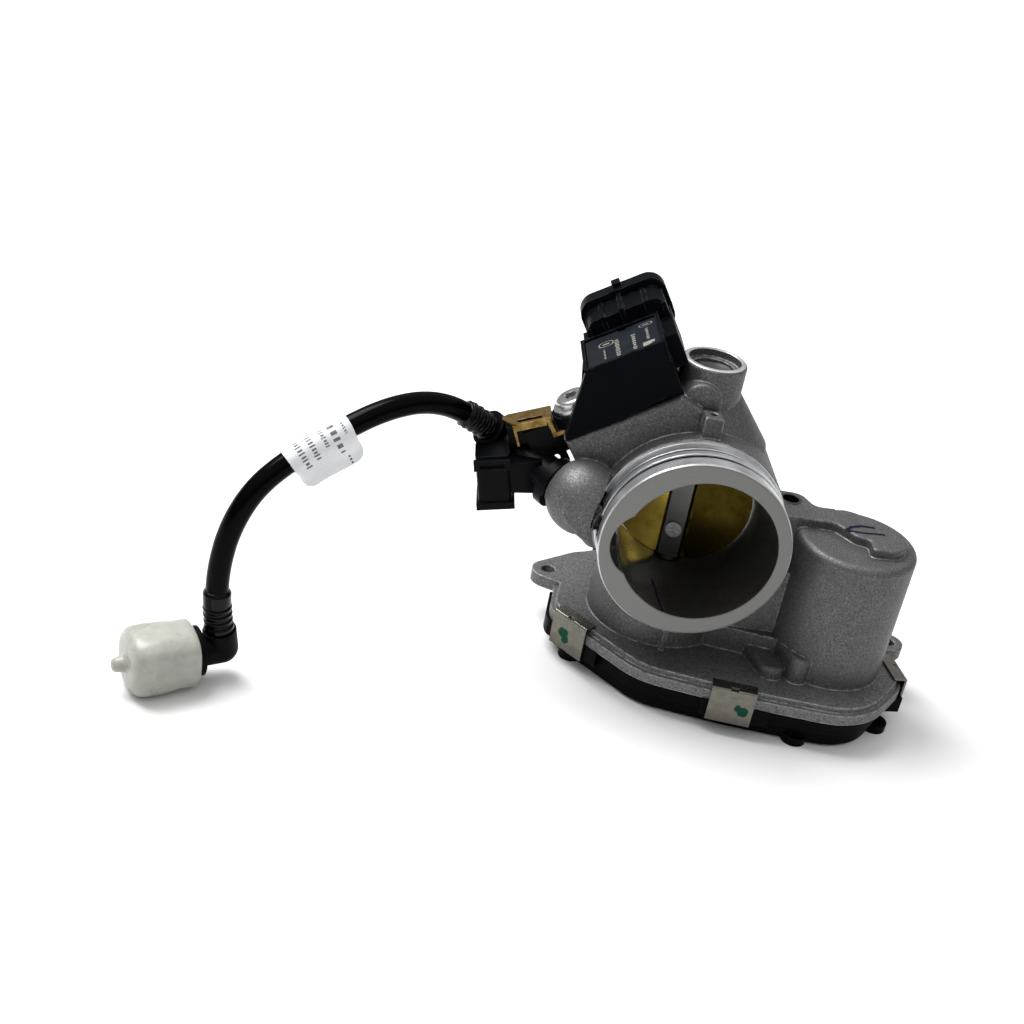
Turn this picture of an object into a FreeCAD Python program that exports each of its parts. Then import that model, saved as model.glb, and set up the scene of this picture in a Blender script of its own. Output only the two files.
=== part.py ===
"""Electronic throttle body with fuel injector, pressure sensor and short fuel hose.

The parts are drawn about the point where the bore axis (Y) crosses the throttle shaft axis (Z).
They are written out with the origin moved to the middle of the engine-side spigot's face.
"""
import FreeCAD, Part
import math
import os

V = FreeCAD.Vector
X, Y, Z = V(1, 0, 0), V(0, 1, 0), V(0, 0, 1)

# ---------------------------------------------------------------- driving dimensions, mm
BORE_R = 21.0            # throttle bore
MOUTH_R = 22.0           # bore at the engine-side face
MOUTH_SHIFT = 1.6        # the mouth is this far off the bore axis, away from the injector
SPIGOT_R = 27.5          # hose spigots, both sides
BODY_R = 28.0            # casting between the spigots
SPIGOT_REACH = 34.0      # shaft axis to either spigot face
BAND_LENGTH = 14.2       # machined length of a spigot
BODY_SHIFT = V(0, SPIGOT_REACH, 0)

SHAFT_R = 4.0
REST_OPEN = 14.0         # plate angle at rest, degrees from square across the bore
CLOSED_OPEN = 8.0        # plate angle when closed
PLATE_T = 1.7
PLATE_GAP = 0.08

TOWER_R = 9.5            # top bearing boss
TOWER_TOP = 44.5
FLANGE_TOP = -41.0
FLANGE_BOTTOM = -46.0
CEILING = -43.5          # roof of the gear chamber
COVER_RIM = -51.2        # underside of the cover's rim
COVER_FLOOR = -54.6      # inside of the cover's bottom
COVER_BOTTOM = -56.4
FEET_BOTTOM = -57.0      # what the whole part stands on

MOTOR_X, MOTOR_Y = 51.5, -15.0
MOTOR_HOUSE_R = 18.2
MOTOR_TOP = 1.1
WEB_TOP = 4.0            # raised web behind the motor dome, and its bushed lug
MOTOR_CAN_R = 15.5

MODULE_1, PINION_TEETH, IDLER_BIG_TEETH = 0.8, 12, 44
MODULE_2, IDLER_SMALL_TEETH, SECTOR_TEETH = 1.0, 12, 52
PRESSURE_ANGLE = 25.0
BACKLASH = 0.16

SENSOR_TILT = 31.7       # the pressure sensor leans this far, degrees about Y
SENSOR_X, SENSOR_Z = -27.55, 47.18   # middle of the label's front edge
SENSOR_FRONT = -15.0     # y of the sensor's front wall
PAD_N = -17.5            # machined pad, below the label plane
EAR_N, HEAD_N = -16.3, -12.4         # underside and top of the sensor's ear
SCREW_U, SCREW_Y = -19.6, -5.0       # sensor screw on the pad
PROBE_U, PROBE_Y = -3.0, -6.0        # sensor probe on the pad

INJ_RIM = V(-38.3, -14.0, 4.2)       # middle of the injector boss's rim
INJ_YAW, INJ_RISE = 40.0, 15.0       # injector axis, degrees away from -X towards +Y, and up
INJ_BOSS_R = 10.9
INJ_BOSS_UP = 2.2        # the round boss sits this far above the injector axis

CUP_FROM, CUP_LENGTH, CUP_R = 17.2, 10.4, 6.6        # fuel cap, along the injector axis
STRAP_N, STRAP_FALL = -12.1, 22.0    # underside of the fuel clip's strap, and its slope, degrees
HOSE_R = 3.2
HOSE_ROUTE = [(-60.9, -1.4, 13.6), (-68.4, -5.6, 19.9), (-79.1, -11.6, 24.2),
              (-90.3, -18.0, 22.9), (-101.8, -24.5, 17.4), (-114.3, -31.6, 9.9),
              (-122.4, -36.2, 2.2), (-127.5, -39.1, -8.9), (-129.6, -40.3, -21.2),
              (-129.6, -40.3, -32.6), (-128.4, -39.6, -41.6)]
ELBOW_DROP = 6.25        # from the hose's end to the corner of the quick connector
ELBOW_R = 4.7
PLUG_FROM, PLUG_LENGTH, PLUG_R = 6.5, 16.0, 7.2      # connector barrel, out from the corner
CAP_HEADING = V(-0.872, -0.489, 0.0)
CAP_HALF, CAP_FROM, CAP_LENGTH = 9.2, 8.5, 19.0
CAP_WALL = 1.5

LUG_HOLE_R = 2.25
LUGS = ((-33.4, 15.4, 5.2, -18.0, 17.0, 13.0), (76.4, -2.1, 4.8, 66.5, 0.5, 8.0))
BUSH_X, BUSH_Y = 32.7, -0.7
BUSH_R, BUSH_BORE_R = 3.4, 2.6
MOTOR_SCREWS = ((33.5, -28.0), (65.2, -1.6))
MOTOR_SCREW_R = 1.65
PLATE_SCREW_Z = 10.5

# corners of the gear case's outline: x, y, corner radius
FLANGE_OUTLINE = [(-29.6, 22, 12), (-33.4, -6.0, 10), (-7.5, -33.6, 22), (20, -40.0, 60),
                  (60, -45.5, 22), (76.5, -24, 10), (72, 6, 12), (44, 25, 30), (6, 36, 26),
                  (-22, 33, 18)]


# ---------------------------------------------------------------- shape helpers
def last_run():
    """End of the hose and the way it arrives there."""
    end = V(*HOSE_ROUTE[-1])
    way = end - V(*HOSE_ROUTE[-2])
    way.normalize()
    return end, way


HOSE_END, HOSE_END_WAY = last_run()
ELBOW = HOSE_END + HOSE_END_WAY * ELBOW_DROP


def cyl(r, h, base, axis=Z):
    return Part.makeCylinder(r, h, V(*base), V(*axis))


def cone(r1, r2, h, base, axis=Z):
    return Part.makeCone(r1, r2, h, V(*base), V(*axis))


def ring(r_out, r_in, h, base, axis=Z):
    return cyl(r_out, h, base, axis).cut(cyl(r_in, h, base, axis))


def box(x0, x1, y0, y1, z0, z1):
    return Part.makeBox(x1 - x0, y1 - y0, z1 - z0, V(x0, y0, z0))


def join(first, *others):
    """One solid of several that touch or overlap."""
    return first.multiFuse(list(others)).removeSplitter()


def several(shapes):
    return Part.makeCompound(shapes)


def rounded_wire(corners, z=0.0):
    """A closed flat outline of straight runs joined by tangent arcs; corners are (x, y, radius)."""
    n = len(corners)
    ends = []
    for i in range(n):
        p = V(corners[i][0], corners[i][1], z)
        a = V(corners[i - 1][0], corners[i - 1][1], z) - p
        b = V(corners[(i + 1) % n][0], corners[(i + 1) % n][1], z) - p
        turn = math.pi - a.getAngle(b)
        cut = corners[i][2] * math.tan(turn / 2)
        a.normalize()
        b.normalize()
        start, end = p + a * cut, p + b * cut
        middle = a + b
        middle.normalize()
        to_mid = corners[i][2] * (1 / math.cos(turn / 2) - 1)
        ends.append((start, p + middle * to_mid, end))
    edges = []
    for i in range(n):
        start, middle, end = ends[i]
        edges.append(Part.Arc(start, middle, end).toShape())
        following = ends[(i + 1) % n][0]
        if end.distanceToPoint(following) > 1e-6:
            edges.append(Part.LineSegment(end, following).toShape())
    return Part.Wire(edges)


def slab(wire, z0, z1):
    face = Part.Face(wire.translated(V(0, 0, z0)))
    return face.extrude(V(0, 0, z1 - z0))


def flange_slab(inset, z0, z1):
    wire = rounded_wire(FLANGE_OUTLINE)
    if inset:
        wire = wire.makeOffset2D(-inset)
    return slab(wire, z0, z1)


def hull_of_two(c1, r1, c2, r2, z0, z1):
    """Two upright cylinders and the flat-sided web that is tangent to both."""
    a, b = V(c1[0], c1[1], z0), V(c2[0], c2[1], z0)
    line = b - a
    reach = line.Length
    line.normalize()
    side = V(-line.y, line.x, 0)
    lean = math.asin((r1 - r2) / reach)
    up = line * math.sin(lean) + side * math.cos(lean)
    down = line * math.sin(lean) - side * math.cos(lean)
    corners = [a + up * r1, b + up * r2, b + down * r2, a + down * r1, a + up * r1]
    web = Part.Face(Part.makePolygon(corners)).extrude(V(0, 0, z1 - z0))
    h = z1 - z0
    return join(web, cyl(r1, h, a), cyl(r2, h, b))


def polar(r, degrees):
    return V(r * math.cos(math.radians(degrees)), r * math.sin(math.radians(degrees)), 0)


def soft(shape, radius, wanted):
    """Round the edges for which wanted(edge) is true."""
    edges = [e for e in shape.Edges if wanted(e)]
    return shape.makeFillet(radius, edges) if edges else shape


def is_circle_at(z, r, x=None, y=None):
    def test(edge):
        curve = edge.Curve
        if not isinstance(curve, Part.Circle) or abs(curve.Radius - r) > 0.01:
            return False
        centre = curve.Center
        beside = x is None or (abs(centre.x - x) < 0.01 and abs(centre.y - y) < 0.01)
        return abs(centre.z - z) < 0.01 and beside
    return test


# ---------------------------------------------------------------- tilted frames
class Frame:
    """A local frame: point(a, b, c) is origin + a*e1 + b*e2 + c*e3."""

    def __init__(self, origin, e1, e2, e3):
        self.o, self.e1, self.e2, self.e3 = origin, e1, e2, e3

    def point(self, a, b, c):
        return self.o + self.e1 * a + self.e2 * b + self.e3 * c

    def block(self, a0, a1, b0, b1, c0, c1):
        corners = [(a0, b0), (a1, b0), (a1, b1), (a0, b1), (a0, b0)]
        wire = Part.makePolygon([self.point(a, b, c0) for a, b in corners])
        return Part.Face(wire).extrude(self.e3 * (c1 - c0))

    def prism_across(self, outline, b0, b1):
        """Outline of (a, c) points, extruded along e2."""
        points = [self.point(a, b0, c) for a, c in outline]
        return Part.Face(Part.makePolygon(points + points[:1])).extrude(self.e2 * (b1 - b0))

    def rounded_tube(self, half_a, half_c, corner, b0, b1, a=0.0, c=0.0):
        """A rounded rectangle in the e1-e3 plane, extruded along e2."""
        wire = rounded_wire([(-half_a, -half_c, corner), (half_a, -half_c, corner),
                             (half_a, half_c, corner), (-half_a, half_c, corner)])
        face = Part.Face(wire)
        m = FreeCAD.Matrix(self.e1.x, self.e3.x, -self.e2.x, 0,
                           self.e1.y, self.e3.y, -self.e2.y, 0,
                           self.e1.z, self.e3.z, -self.e2.z, 0, 0, 0, 0, 1)
        face.transformShape(m)
        face.translate(self.point(a, b0, c))
        return face.extrude(self.e2 * (b1 - b0))

    def bar(self, r, base, length):
        """A cylinder along e3."""
        return Part.makeCylinder(r, length, self.point(*base), self.e3)


def sensor_frame():
    t = math.radians(SENSOR_TILT)
    across = V(math.cos(t), 0, math.sin(t))
    normal = V(-math.sin(t), 0, math.cos(t))
    return Frame(V(SENSOR_X, 0, SENSOR_Z), across, Y, normal)


def injector_frame():
    yaw, rise = math.radians(INJ_YAW), math.radians(INJ_RISE)
    along = V(-math.cos(yaw) * math.cos(rise), math.sin(yaw), math.cos(yaw) * math.sin(rise))
    level = Z.cross(along)
    level.normalize()
    return Frame(INJ_RIM, level, along.cross(level), along)


SENSOR = sensor_frame()
INJECTOR = injector_frame()


# ---------------------------------------------------------------- gears
def idler_centre():
    near = MODULE_2 * (SECTOR_TEETH + IDLER_SMALL_TEETH) / 2
    far = MODULE_1 * (PINION_TEETH + IDLER_BIG_TEETH) / 2
    line = V(MOTOR_X, MOTOR_Y, 0)
    reach = line.Length
    line.normalize()
    along = (near ** 2 - far ** 2 + reach ** 2) / (2 * reach)
    aside = math.sqrt(near ** 2 - along ** 2)
    return line * along + V(-line.y, line.x, 0) * aside


IDLER = idler_centre()
MOTOR = V(MOTOR_X, MOTOR_Y, 0)


def heading(a, b):
    return math.degrees(math.atan2(b.y - a.y, b.x - a.x))


def gear_teeth(module, teeth, z0, z1, first_tooth, first=0, last=None):
    """A toothed disc about the origin. Tooth 0 is centred on the angle first_tooth.

    With last given, only the teeth from first to last are cut and the rest is a plain disc.
    """
    last = teeth - 1 if last is None else last
    pitch_r = module * teeth / 2
    base_r = pitch_r * math.cos(math.radians(PRESSURE_ANGLE))
    tip_r, root_r = pitch_r + 0.95 * module, pitch_r - 1.2 * module

    def involute(r):
        if r <= base_r:
            return 0.0
        a = math.acos(base_r / r)
        return math.tan(a) - a

    half = (math.pi * module / 2 - BACKLASH) / (2 * pitch_r) + involute(pitch_r)
    radii = [root_r] + [max(base_r, root_r) + (tip_r - max(base_r, root_r)) * k / 3
                        for k in range(4)]
    outline = []
    for i in range(teeth):
        middle = math.radians(first_tooth) + 2 * math.pi * i / teeth
        if first <= i <= last:
            flank = [(r, half - involute(r)) for r in radii]
        else:
            flank = [(root_r, half)]
        outline += [polar(r, math.degrees(middle - w)) for r, w in flank]
        outline += [polar(r, math.degrees(middle + w)) for r, w in reversed(flank)]
    outline = [V(p.x, p.y, z0) for p in outline]
    return Part.Face(Part.makePolygon(outline + outline[:1])).extrude(V(0, 0, z1 - z0))


def sector_gear():
    """Moulded toothed sector on the shaft's lower end, with its hub and magnet pocket."""
    step = 360 / SECTOR_TEETH
    towards = heading(V(0, 0, 0), IDLER)
    disc = gear_teeth(MODULE_2, SECTOR_TEETH, -53.0, -48.3, towards + step / 2, 0, 13)
    start, end = towards - 11.5, towards + 98.0
    wedge = [V(0, 0, -54), polar(40, start), polar(46, start + 30), polar(50, (start + end) / 2),
             polar(46, end - 30), polar(40, end), V(0, 0, -54)]
    wedge = [V(p.x, p.y, -54) for p in wedge]
    fan = Part.Face(Part.makePolygon(wedge)).extrude(V(0, 0, 8))
    body = join(disc.common(fan), cyl(10.5, 5.7, (0, 0, -53.0)))
    for k in range(3):
        spot = polar(16.5, start + 22 + k * 32)
        body = body.cut(cyl(4.0, 8, (spot.x, spot.y, -54)))
    return body.cut(cyl(SHAFT_R, 8, (0, 0, -51.2))).cut(cyl(3.2, 3, (0, 0, -53.5)))


def sensor_magnet():
    return cyl(3.2, 1.6, (0, 0, -52.9))


def idler_gear():
    big_step = 360 / IDLER_BIG_TEETH
    big = gear_teeth(MODULE_1, IDLER_BIG_TEETH, -47.6, -44.1,
                     heading(IDLER, MOTOR) + big_step / 2)
    small = gear_teeth(MODULE_2, IDLER_SMALL_TEETH, -53.6, -47.6, heading(IDLER, V(0, 0, 0)))
    body = join(big, small)
    for k in range(6):
        spot = polar(11.3, 30 + 60 * k)
        body = body.cut(cyl(3.2, 6, (spot.x, spot.y, -48.5)))
    body = body.cut(cyl(2.55, 14, (0, 0, -56)))
    return body.translated(IDLER)


def motor_pinion():
    body = gear_teeth(MODULE_1, PINION_TEETH, -48.2, -43.9, heading(MOTOR, IDLER))
    return body.cut(cyl(1.5, 10, (0, 0, -50))).translated(MOTOR)


# ---------------------------------------------------------------- housing
def spigot_band(face_y, way):
    """The machined band: lip, two grooves and two lands. way is +1 when it runs towards +Y."""
    pieces = []
    y = 0.0
    for r, length in ((SPIGOT_R, 4.6), (26.3, 1.8), (SPIGOT_R, 2.4), (26.5, 1.4), (27.2, 4.0)):
        pieces.append(cyl(r, length, (0, face_y + way * y, 0), (0, way, 0)))
        y += length
    band = join(*pieces)
    edge = is_face_edge(face_y, SPIGOT_R)
    return band.makeChamfer(0.4, [e for e in band.Edges if edge(e)])


def is_face_edge(y, r):
    def test(edge):
        curve = edge.Curve
        return (isinstance(curve, Part.Circle) and abs(curve.Radius - r) < 0.01
                and abs(curve.Center.y - y) < 0.01)
    return test


def tower():
    """Top bearing boss, its flare into the bore casting, the arched pad and the drilled post."""
    stem = cyl(TOWER_R, TOWER_TOP - 15, (0, 0, 15))
    stem = soft(stem, 1.0, is_circle_at(TOWER_TOP, TOWER_R))
    flare = cone(21.0, TOWER_R, 15.0, (0, 2, 20.5))
    arch = join(box(-9.0, 2.6, -11.6, 0, 22, 35.0), cyl(5.8, 11.6, (-3.2, -11.6, 35.0), Y))
    arch = soft(arch, 1.0, lambda e: e.BoundBox.YMax < -11.5 and e.BoundBox.ZMin > 22.01)
    post = box(-2.7, 2.7, -18.4, -12.6, 20, 34.2)
    post = soft(post, 0.8, lambda e: e.BoundBox.ZMin > 20.5)
    return [stem, flare, arch, post]


def sensor_seat():
    """Block that carries the sensor's pad, down to the bore casting and the injector boss."""
    outline = [(-25.2, PAD_N), (-24.4, -37.0), (-14.0, -52.0), (8.0, -46.0), (14.0, -24.0),
               (10.0, PAD_N)]
    block = SENSOR.prism_across(outline, SENSOR_FRONT, 19.0)
    return soft(block, 1.6, lambda e: abs(e.BoundBox.YMax - SENSOR_FRONT) < 0.01
                or abs(e.BoundBox.YMin - 19.0) < 0.01)


def crown(piece):
    """Let the top of a piece fall away round the middle of the motor dome."""
    slope = cone(25.5, 13.9, 6.6, (MOTOR_X - 0.8, MOTOR_Y - 2.0, WEB_TOP - 6.6))
    below = cyl(80.0, WEB_TOP - 6.6 - FLANGE_BOTTOM, (MOTOR_X, MOTOR_Y, FLANGE_BOTTOM))
    return piece.common(join(slope, below))


def motor_dome():
    dome = cyl(MOTOR_HOUSE_R, MOTOR_TOP - FLANGE_TOP + 0.5, (MOTOR_X, MOTOR_Y, FLANGE_TOP - 0.5))
    return crown(soft(dome, 2.2, is_circle_at(MOTOR_TOP, MOTOR_HOUSE_R)))


def motor_web():
    """Raised web over the back of the motor dome, out to the bushed lug and the bore casting."""
    outline = [(20, -11.7, 0.5), (44.5, -12.1, 3), (49.5, -18.5, 2.5), (53.5, -20.0, 1.5),
               (53.0, -25.5, 1.5), (62.5, -25.0, 6), (66.0, -17.5, 5), (60.5, -8.0, 8),
               (50.5, -2.7, 10), (40.0, -3.0, 3), (37.0, 4.3, 4.5), (28.0, 4.7, 4),
               (20, 4.9, 0.5)]
    web = soft(slab(rounded_wire(outline), -4.6, WEB_TOP), 0.6,
               lambda e: e.BoundBox.ZMin > WEB_TOP - 0.1)
    falling = cone(29.0, 13.9, 8.7, (MOTOR_X - 0.8, MOTOR_Y - 2.0, WEB_TOP - 8.7))
    return web.common(join(falling, box(15, 46.0, -20, 10, -5, WEB_TOP)))


def lug(x, y, r, blend_x, blend_y, blend_r):
    """A rounded ear round a fixing hole, blended back into the flange."""
    return hull_of_two((x, y), r, (blend_x, blend_y), blend_r, FLANGE_TOP - 4.0, FLANGE_TOP)


def base_posts():
    """Ribs over the front motor screw and beside the motor dome, and a post at the back."""
    front = hull_of_two((27.5, -14.0), 3.6, (32.7, -28.2), 4.0, FLANGE_TOP - 1.5, -37.2)
    side = hull_of_two((36.0, -16.0), 3.4, (40.5, -29.3), 3.5, FLANGE_TOP - 1.5, -32.8)
    back = cyl(4.6, -36.0 - FLANGE_TOP + 1.5, (68.4, -1.0, FLANGE_TOP - 1.5))
    return [soft(front, 1.4, lambda e: e.BoundBox.ZMin > -37.3),
            soft(side, 1.4, lambda e: e.BoundBox.ZMin > -32.9),
            soft(back, 1.4, is_circle_at(-36.0, 4.6))]


def hub_under_bore():
    """Round hub between the gear flange and the bore, with the parting rib on its front."""
    hub = cone(21.6, 20.4, 22.0, (0, 0, FLANGE_TOP - 0.5))
    rib = box(-0.8, 0.8, -23.6, 0, FLANGE_TOP - 0.5, -20)
    return [hub, rib]


def injector_boss():
    """Round boss for the injector, and the small knob beneath it, clear of the spigot."""
    middle = INJECTOR.point(0, INJ_BOSS_UP, -8.0)
    ball = Part.makeSphere(INJ_BOSS_R, middle)
    stem = INJECTOR.bar(8.8, (0, INJ_BOSS_UP * 0.5, -26), 20)
    knob = soft(cyl(4.6, 12, (-25.8, -19.1, -7.5), Y), 1.5, is_face_edge(-19.1, 4.6))
    ahead = INJECTOR.block(-14, 14, -14, 14, 0, 6)
    boot_room = cyl(29.8, BAND_LENGTH + 1, (0, -SPIGOT_REACH - 1, 0), Y)
    clamp_room = box(-60, 10, -45, -28.4, -30, 40)
    return join(ball, stem, knob).cut(ahead).cut(boot_room).cut(clamp_room)


def housing_outside():
    bore_body = cyl(BODY_R, 2 * (SPIGOT_REACH - BAND_LENGTH), (0, -SPIGOT_REACH + BAND_LENGTH, 0),
                    Y)
    bands = [spigot_band(-SPIGOT_REACH, 1), spigot_band(SPIGOT_REACH, -1)]
    upper_step = flange_slab(1.6, -42.8, FLANGE_TOP)
    lower_step = flange_slab(0, FLANGE_BOTTOM, -42.8)
    bridge = hull_of_two((0, 0), 14.0, (MOTOR_X, MOTOR_Y), 10.0, FLANGE_TOP - 0.5, -33.0)
    saddle = hull_of_two((0, 0), 17.0, (MOTOR_X - 6, MOTOR_Y + 6), 9.0, -34.0, -12.0)
    lugs = [lug(*sizes) for sizes in LUGS]
    pieces = bands + tower() + [sensor_seat(), motor_dome(), motor_web(), upper_step,
                                lower_step, bridge, saddle, injector_boss()]
    return join(bore_body, *(pieces + lugs + base_posts() + hub_under_bore()))


def bore_cut():
    through = cyl(BORE_R, 2 * SPIGOT_REACH + 2, (0, -SPIGOT_REACH - 1, 0), Y)
    start = Part.Wire(Part.Circle(V(0, -10, 0), Y, BORE_R - 0.4).toShape())
    mouth = Part.Wire(Part.Circle(V(MOUTH_SHIFT, -SPIGOT_REACH - 0.5, 0), Y, MOUTH_R).toShape())
    flare = Part.makeLoft([start, mouth], True)
    pocket = cone(10.8, 6.0, 16.0, (-13.4, -SPIGOT_REACH - 0.01, -0.5), Y)
    return [through, flare, pocket]


def shaft_cuts():
    """Shaft clearance, bearing seats, top port and the spring pocket below."""
    return [cyl(SHAFT_R + 0.4, 90, (0, 0, -50)), cyl(7.0, 9.0, (0, 0, 27.6)),
            cyl(6.2, 12.0, (0, 0, 33.0)), cyl(7.7, 3.0, (0, 0, TOWER_TOP - 2.4)),
            cyl(8.0, 7.0, (0, 0, -38.0)), cyl(7.0, 3.0, (0, 0, -31.0)),
            cyl(15.0, 8.0, (0, 0, CEILING - 2.5))]


def motor_cuts():
    return [cyl(MOTOR_CAN_R + 0.15, 42.5, (MOTOR_X, MOTOR_Y, -44.0)),
            several([cyl(MOTOR_SCREW_R, 7.8, (x, y, -46)) for x, y in MOTOR_SCREWS]),
            cyl(2.5, 9.5, (IDLER.x, IDLER.y, CEILING - 1))]


def fuel_and_sensor_cuts():
    seat = INJECTOR.bar(6.9, (0, 0, -13), 14)
    nozzle = INJECTOR.bar(4.2, (0, 0, -32), 26)
    probe = SENSOR.bar(5.3, (PROBE_U, PROBE_Y, PAD_N - 10), 12)
    passage = SENSOR.bar(3.2, (PROBE_U, PROBE_Y, PAD_N - 26), 20)
    screw = SENSOR.bar(2.0, (SCREW_U, SCREW_Y, PAD_N - 11), 12)
    return [seat, nozzle, probe, passage, screw]


def hole_cuts():
    cuts = [cyl(LUG_HOLE_R, 8, (sizes[0], sizes[1], FLANGE_TOP - 6)) for sizes in LUGS]
    cuts.append(cyl(BUSH_R, 12, (BUSH_X, BUSH_Y, -6)))
    cuts.append(cyl(BUSH_R + 1.4, 25, (BUSH_X, BUSH_Y, -29.6)))
    cuts.append(cyl(1.1, 5.0, (0, -15.5, 30)))
    return cuts


def housing():
    body = housing_outside()
    chamber = flange_slab(4.4, FLANGE_BOTTOM - 1, CEILING)
    groove = flange_slab(1.5, FLANGE_BOTTOM - 1, FLANGE_BOTTOM + 1.1)
    groove = groove.cut(flange_slab(3.1, FLANGE_BOTTOM - 1, FLANGE_BOTTOM + 1.1))
    cuts = bore_cut() + shaft_cuts() + motor_cuts() + fuel_and_sensor_cuts() + hole_cuts()
    return body.cut(several([chamber, groove])).cut(Part.makeCompound(cuts))


# ---------------------------------------------------------------- throttle shaft and plate
def turned(shape, degrees=REST_OPEN):
    """Shapes drawn square to the bore, turned to the plate's angle at rest."""
    return shape.rotated(V(0, 0, 0), Z, -degrees)


def throttle_shaft():
    rod = cyl(SHAFT_R, 36.5 + 51.0, (0, 0, -51.0))
    flats = several([box(-6, 6, 2.6, 6, -19.5, 19.5), box(-6, 6, -6, -2.6, -19.5, 19.5)])
    slot = box(-6, 6, -PLATE_T / 2 - 0.02, PLATE_T / 2 + 0.02, -BORE_R - 0.6, BORE_R + 0.6)
    holes = several([cyl(1.5, 12, (0, -6, z), Y) for z in (-PLATE_SCREW_Z, PLATE_SCREW_Z)])
    return turned(rod.cut(flats).cut(slot).cut(holes))


def throttle_plate():
    disc = cyl(BORE_R - PLATE_GAP, 30, (0, -15, 0), Y)
    disc = disc.rotated(V(0, 0, 0), Z, CLOSED_OPEN)
    plate = disc.common(box(-30, 30, -PLATE_T / 2, PLATE_T / 2, -30, 30))
    plate = plate.cut(several([cyl(1.5, 12, (0, -6, z), Y) for z in (-PLATE_SCREW_Z, PLATE_SCREW_Z)]))
    return turned(plate)


def plate_screws():
    screws = []
    for z in (-PLATE_SCREW_Z, PLATE_SCREW_Z):
        head = join(cyl(2.5, 0.9, (0, -3.5, z), Y), cyl(1.5, 6.4, (0, -2.7, z), Y))
        head = head.cut(box(-0.35, 0.35, -4, -3.1, z - 2, z + 2))
        screws.append(turned(head.cut(box(-2, 2, -4, -3.1, z - 0.35, z + 0.35))))
    return several(screws)


def upper_bearing():
    return ring(7.0, SHAFT_R + 0.03, 5.0, (0, 0, 28.0))


def lower_bearing():
    """Sealed ball bearing: one ring with a shallow shield groove in either face."""
    body = ring(8.0, SHAFT_R + 0.03, 5.0, (0, 0, -36.5))
    grooves = [ring(6.6, 5.2, 0.6, (0, 0, z)) for z in (-36.5, -32.1)]
    return body.cut(several(grooves))


def shaft_seal():
    return ring(7.0, SHAFT_R + 0.05, 2.2, (0, 0, -31.0))


def shaft_plug():
    """Pressed cup plug with a hollow face, in the top port."""
    cup = cyl(6.2, 3.0, (0, 0, 38.6))
    bowl = Part.makeSphere(14.0, V(0, 0, 38.6 + 1.2 + 14.0))
    return cup.cut(bowl)


def return_spring():
    """Torsion spring round the spring guide, with one tang each way."""
    pitch, turns, r, wire = 1.35, 4, 11.6, 0.55
    helix = Part.makeHelix(pitch, pitch * turns, r)
    start = Part.Wire(Part.Circle(V(r, 0, 0), Y, wire).toShape())
    coil = Part.Wire(helix).makePipeShell([start], True, True)
    coil.translate(V(0, 0, -46.6))
    return coil


def spring_guide():
    tube = ring(10.6, 8.4, 8.6, (0, 0, -46.8))
    return join(tube, ring(14.4, 8.4, 0.9, (0, 0, -39.0)))


# ---------------------------------------------------------------- motor
def motor_can():
    can = cyl(MOTOR_CAN_R, 37.4, (MOTOR_X, MOTOR_Y, -39.6))
    can = soft(can, 1.5, is_circle_at(-2.2, MOTOR_CAN_R))
    return can.cut(cyl(14.4, 35.4, (MOTOR_X, MOTOR_Y, -39.6))).cut(
        cyl(3.4, 6, (MOTOR_X, MOTOR_Y, -5)))


def motor_magnets():
    shell = ring(14.4, 12.2, 24, (MOTOR_X, MOTOR_Y, -33))
    gap = box(MOTOR_X - 3, MOTOR_X + 3, MOTOR_Y - 20, MOTOR_Y + 20, -34, -8)
    return shell.cut(gap)


def motor_bearing():
    return ring(3.4, 1.53, 2.6, (MOTOR_X, MOTOR_Y, -4.9))


def motor_wave_spring():
    return ring(11.0, 8.0, 0.6, (MOTOR_X, MOTOR_Y, -2.15))


def motor_end_cap():
    """Brush plate that closes the can, with two ears for its screws."""
    disc = cyl(15.6, 2.9, (MOTOR_X, MOTOR_Y, -43.2))
    ears = [hull_of_two((MOTOR_X, MOTOR_Y), 9.0, (x, y), 3.2, -45.4, -43.55)
            for x, y in MOTOR_SCREWS]
    spring_seat = cyl(15.6, 2.4, (MOTOR_X, MOTOR_Y, -45.4))
    body = join(disc, spring_seat, *ears)
    cuts = [cyl(MOTOR_SCREW_R + 0.1, 6, (x, y, -47)) for x, y in MOTOR_SCREWS]
    cuts += [cyl(5.9, 3.0, (MOTOR_X, MOTOR_Y, -46.4)), cyl(1.6, 9, (MOTOR_X, MOTOR_Y, -47))]
    opening = hull_of_two((MOTOR_X, MOTOR_Y), 5.9, (IDLER.x, IDLER.y), 18.9, -46.4, -43.7)
    return body.cut(several(cuts)).cut(opening)


def motor_screws():
    screws = []
    for x, y in MOTOR_SCREWS:
        head = join(cyl(2.5, 2.2, (x, y, -47.6)), cyl(MOTOR_SCREW_R, 7.2, (x, y, -45.6)))
        screws.append(head.cut(cyl(1.3, 1.3, (x, y, -47.6))))
    return several(screws)


def motor_shaft():
    return cyl(1.5, 46.1, (MOTOR_X, MOTOR_Y, -48.6))


def motor_armature():
    """Laminated core with its slots, and the commutator below it."""
    core = ring(11.7, 1.5, 22, (MOTOR_X, MOTOR_Y, -32))
    slots = []
    for k in range(8):
        spot = polar(10.4, 45 * k)
        slots.append(cyl(1.9, 24, (MOTOR_X + spot.x, MOTOR_Y + spot.y, -33)))
    core = core.cut(several(slots))
    return join(core, ring(4.2, 1.5, 6.4, (MOTOR_X, MOTOR_Y, -38.0)))


def idler_pin():
    return cyl(2.5, 17.8, (IDLER.x, IDLER.y, -54.5))


# ---------------------------------------------------------------- cover
CLIP_TOP = FLANGE_TOP + 0.75
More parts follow.
